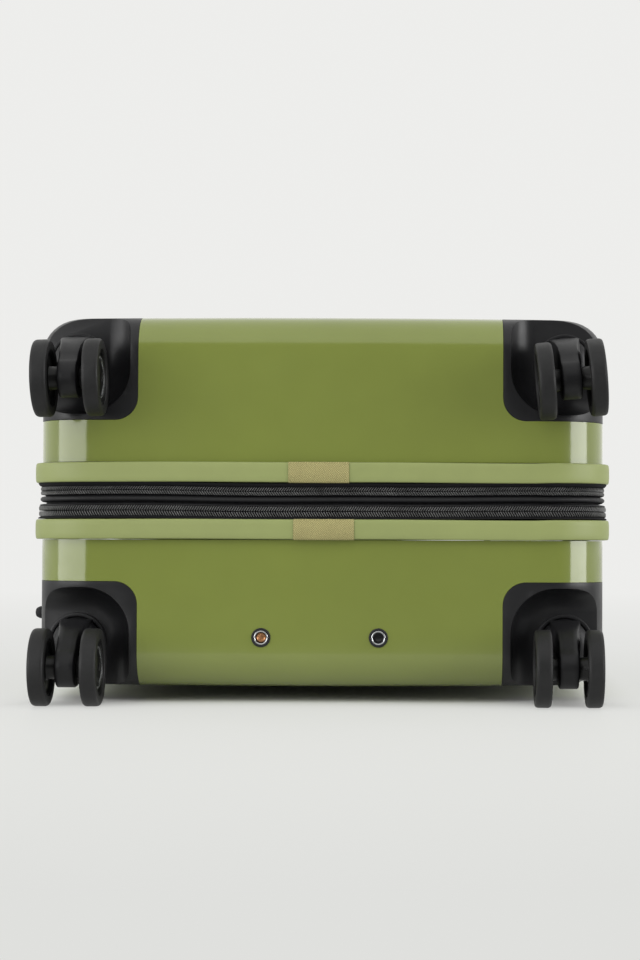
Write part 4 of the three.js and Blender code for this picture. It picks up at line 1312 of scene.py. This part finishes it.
class SUITCASE_OT_stage(bpy.types.Operator):
    """Sets the floor, the soft lights and the camera"""
    bl_idname = "suitcase.stage"
    bl_label = "Stage"

    def execute(self, context):
        settings = context.scene.suitcase_stage
        low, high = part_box("back_left_wheel_a")
        contact = Vector((0.0, (low.y + high.y) / 2, 0.0))
        edge = context.scene.suitcase_shell.edge_radius
        tilt = math.atan2(SHELL_LOW.z, TOP_END - edge - contact.y)
        forward = Vector((0.0, math.cos(tilt), math.sin(tilt)))
        up = Vector((0.0, -math.sin(tilt), math.cos(tilt)))
        self.floor(contact, tilt, settings)
        self.world(context, settings)
        self.lights()
        self.camera(context, settings, contact, forward, up)
        context.scene.view_settings.view_transform = "Standard"
        return {"FINISHED"}

    def floor(self, contact, tilt, settings):
        verts, faces = [], []
        rings = [0.0, 0.4, 0.8, 1.4, 2.2, 3.5, 6.0]
        sides = 64
        for radius in rings[1:]:
            turns = [2 * math.pi * k / sides for k in range(sides)]
            verts += [(radius * math.cos(turn), radius * math.sin(turn), 0.0) for turn in turns]
        faces.append(tuple(range(sides)))
        for row in range(len(rings) - 2):
            for k in range(sides):
                a, b = row * sides, (row + 1) * sides
                faces.append((a + k, b + k, b + (k + 1) % sides, a + (k + 1) % sides))
        mesh = raw_mesh("studio_floor", verts, faces)
        floor = bpy.data.objects.new("studio_floor", mesh)
        under = Vector((0, 0, -0.0002))
        floor.matrix_world = Matrix.Translation(contact + under) @ Matrix.Rotation(tilt, 4, "X")
        bpy.context.scene.collection.objects.link(floor)
        mesh.materials.append(self.floor_finish(settings))

    def floor_finish(self, settings):
        """A pale floor that fades into the backdrop with distance."""
        material = bpy.data.materials.new("pale_floor")
        material.use_nodes = True
        tree = material.node_tree
        shader = tree.nodes["Principled BSDF"]
        shader.inputs["Base Color"].default_value = (*settings.floor, 1.0)
        shader.inputs["Roughness"].default_value = 0.55
        shader.inputs["Specular IOR Level"].default_value = 0.25
        glow = tree.nodes.new("ShaderNodeEmission")
        place = tree.nodes.new("ShaderNodeTexCoord")
        split = tree.nodes.new("ShaderNodeSeparateXYZ")
        far = tree.nodes.new("ShaderNodeVectorMath")
        far.operation = "LENGTH"
        tree.links.new(place.outputs["Object"], far.inputs[0])
        tree.links.new(place.outputs["Object"], split.inputs[0])
        beside = remap(tree, math_node(tree, "ABSOLUTE", split.outputs["X"]),
                       HALF_X - 0.02, HALF_X + 0.03, 0.0, 1.0)
        before = remap(tree, split.outputs["Y"], 0.045, -0.005, 0.0, 1.0)
        beyond = remap(tree, split.outputs["Y"], 2 * HALF_Y, 2 * HALF_Y + 0.2, 0.0, 1.0)
        clear = math_node(tree, "MAXIMUM", math_node(tree, "MAXIMUM", beside, before), beyond)
        fade = math_node(tree, "MULTIPLY", remap(tree, far.outputs["Value"], 0.1, 0.75, 0.72, 1.0), clear)
        tone = tree.nodes.new("ShaderNodeMix")
        tone.data_type = "RGBA"
        tone.inputs["A"].default_value = (*settings.floor, 1.0)
        tone.inputs["B"].default_value = (*settings.backdrop, 1.0)
        faded = math_node(tree, "MAXIMUM", remap(tree, split.outputs["Y"], 0.1, 2.0, 0.0, 1.0),
                          remap(tree, far.outputs["Value"], 2.5, 5.5, 0.0, 1.0))
        tree.links.new(faded, tone.inputs["Factor"])
        # The shells mirror the floor close by more than the floor further in front.
        rays = tree.nodes.new("ShaderNodeLightPath")
        dimmed = remap(tree, split.outputs["Y"], -0.15, -0.4, 0.1, 0.75)
        loss = math_node(tree, "MULTIPLY", rays.outputs["Is Glossy Ray"], dimmed)
        tree.links.new(remap(tree, loss, 0.0, 1.0, 1.0, 0.0), glow.inputs["Strength"])
        tree.links.new(tone.outputs["Result"], glow.inputs["Color"])
        mix = tree.nodes.new("ShaderNodeMixShader")
        tree.links.new(fade, mix.inputs["Fac"])
        tree.links.new(shader.outputs[0], mix.inputs[1])
        tree.links.new(glow.outputs[0], mix.inputs[2])
        tree.links.new(mix.outputs[0], tree.nodes["Material Output"].inputs["Surface"])
        return material

    def world(self, context, settings):
        """A pale backdrop for the camera and a dimmer surround for everything else."""
        world = bpy.data.worlds.new("soft_studio")
        world.use_nodes = True
        tree = world.node_tree
        backdrop = tree.nodes["Background"]
        backdrop.inputs["Color"].default_value = (*settings.backdrop, 1.0)
        surround = tree.nodes.new("ShaderNodeBackground")
        surround.inputs["Color"].default_value = (*settings.backdrop, 1.0)
        place = tree.nodes.new("ShaderNodeTexCoord")
        split = tree.nodes.new("ShaderNodeSeparateXYZ")
        tree.links.new(place.outputs["Generated"], split.inputs[0])
        aside = remap(tree, split.outputs["Y"], -0.9, -0.3, 0.0, 1.0)
        above = remap(tree, split.outputs["Z"], 0.42, 0.55, 0.0, 1.0)
        open_sides = math_node(tree, "MAXIMUM", aside, above)
        tree.links.new(remap(tree, open_sides, 0.0, 1.0, settings.surround, settings.open_sides),
                       surround.inputs["Strength"])
        rays = tree.nodes.new("ShaderNodeLightPath")
        mix = tree.nodes.new("ShaderNodeMixShader")
        tree.links.new(rays.outputs["Is Camera Ray"], mix.inputs["Fac"])
        tree.links.new(surround.outputs[0], mix.inputs[1])
        tree.links.new(backdrop.outputs[0], mix.inputs[2])
        tree.links.new(mix.outputs[0], tree.nodes["World Output"].inputs["Surface"])
        context.scene.world = world

    def lights(self):
        """Soft boxes round the case, seen only by what they light and what mirrors them."""
        boxes = (
            ("left_softbox", 52.0, 2.2, 0.25, (2.6, 1.4), 3.0, True),
            ("right_softbox", -68.0, 2.2, 0.25, (1.5, 1.3), 4.6, True),
            ("high_softbox", 6.0, 1.7, 2.0, (2.6, 1.2), 1.6, False),
        )
        middle = Vector((0.0, WHEEL_END, MID_Z))
        for name, bearing, away, high, size, radiance, mirrored in boxes:
            angle = math.radians(bearing)
            place = middle + Vector((-away * math.sin(angle), -away * math.cos(angle), high))
            light = bpy.data.lights.new(name, "AREA")
            light.shape = "RECTANGLE"
            light.size, light.size_y = size
            light.energy = radiance * math.pi * size[0] * size[1]
            holder = bpy.data.objects.new(name, light)
            holder.location = place
            holder.rotation_euler = (middle - place).to_track_quat("-Z", "Y").to_euler()
            holder.visible_camera = False
            holder.visible_glossy = mirrored
            bpy.context.scene.collection.objects.link(holder)

    def camera(self, context, settings, contact, forward, up):
        lens = bpy.data.cameras.new("camera")
        lens.lens = settings.lens
        lens.sensor_width = 36.0
        lens.sensor_fit = "AUTO"
        lens.shift_y = settings.shift
        camera = bpy.data.objects.new("camera", lens)
        right = Vector((1.0, 0.0, 0.0))
        place = contact - forward * settings.distance + up * settings.height + right * settings.aside
        to_face = settings.distance + WHEEL_END - contact.y
        lens.shift_x = -settings.aside / to_face * settings.lens / lens.sensor_width
        look = Matrix((right, up, -forward)).transposed().to_4x4()
        camera.matrix_world = Matrix.Translation(place) @ look @ Matrix.Rotation(settings.roll, 4, "Z")
        context.scene.collection.objects.link(camera)
        context.scene.camera = camera


class SUITCASE_PT_panel(bpy.types.Panel):
    """Lists the suitcase's steps and sizes"""
    bl_idname = "SUITCASE_PT_panel"
    bl_label = "Suitcase"
    bl_space_type = "VIEW_3D"
    bl_region_type = "UI"
    bl_category = "Suitcase"

    def draw(self, context):
        for step in STEPS:
            self.layout.operator(step.bl_idname)
        for name in SETTINGS:
            group = getattr(context.scene, name)
            box = self.layout.box()
            for field in group.__annotations__:
                box.prop(group, field)


STEPS = (SUITCASE_OT_stage, SUITCASE_OT_shells, SUITCASE_OT_rims, SUITCASE_OT_zips, SUITCASE_OT_housings,
         SUITCASE_OT_casters, SUITCASE_OT_tube_ends, SUITCASE_OT_trolley, SUITCASE_OT_carry_handles,
         SUITCASE_OT_lock, SUITCASE_OT_inside)
SETTINGS = {"suitcase_shell": ShellSettings, "suitcase_zips": ZipSettings, "suitcase_casters": CasterSettings,
            "suitcase_stage": StageSettings}


def register():
    for name, kind in SETTINGS.items():
        bpy.utils.register_class(kind)
        setattr(bpy.types.Scene, name, PointerProperty(type=kind))
    for kind in (*STEPS, SUITCASE_PT_panel):
        bpy.utils.register_class(kind)


def unregister():
    for kind in reversed((*STEPS, SUITCASE_PT_panel)):
        bpy.utils.unregister_class(kind)
    for name, kind in SETTINGS.items():
        delattr(bpy.types.Scene, name)
        bpy.utils.unregister_class(kind)


def main():
    register()
    for step in STEPS:
        family, name = step.bl_idname.split(".")
        getattr(getattr(bpy.ops, family), name)()
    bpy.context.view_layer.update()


if __name__ == "__main__":
    main()
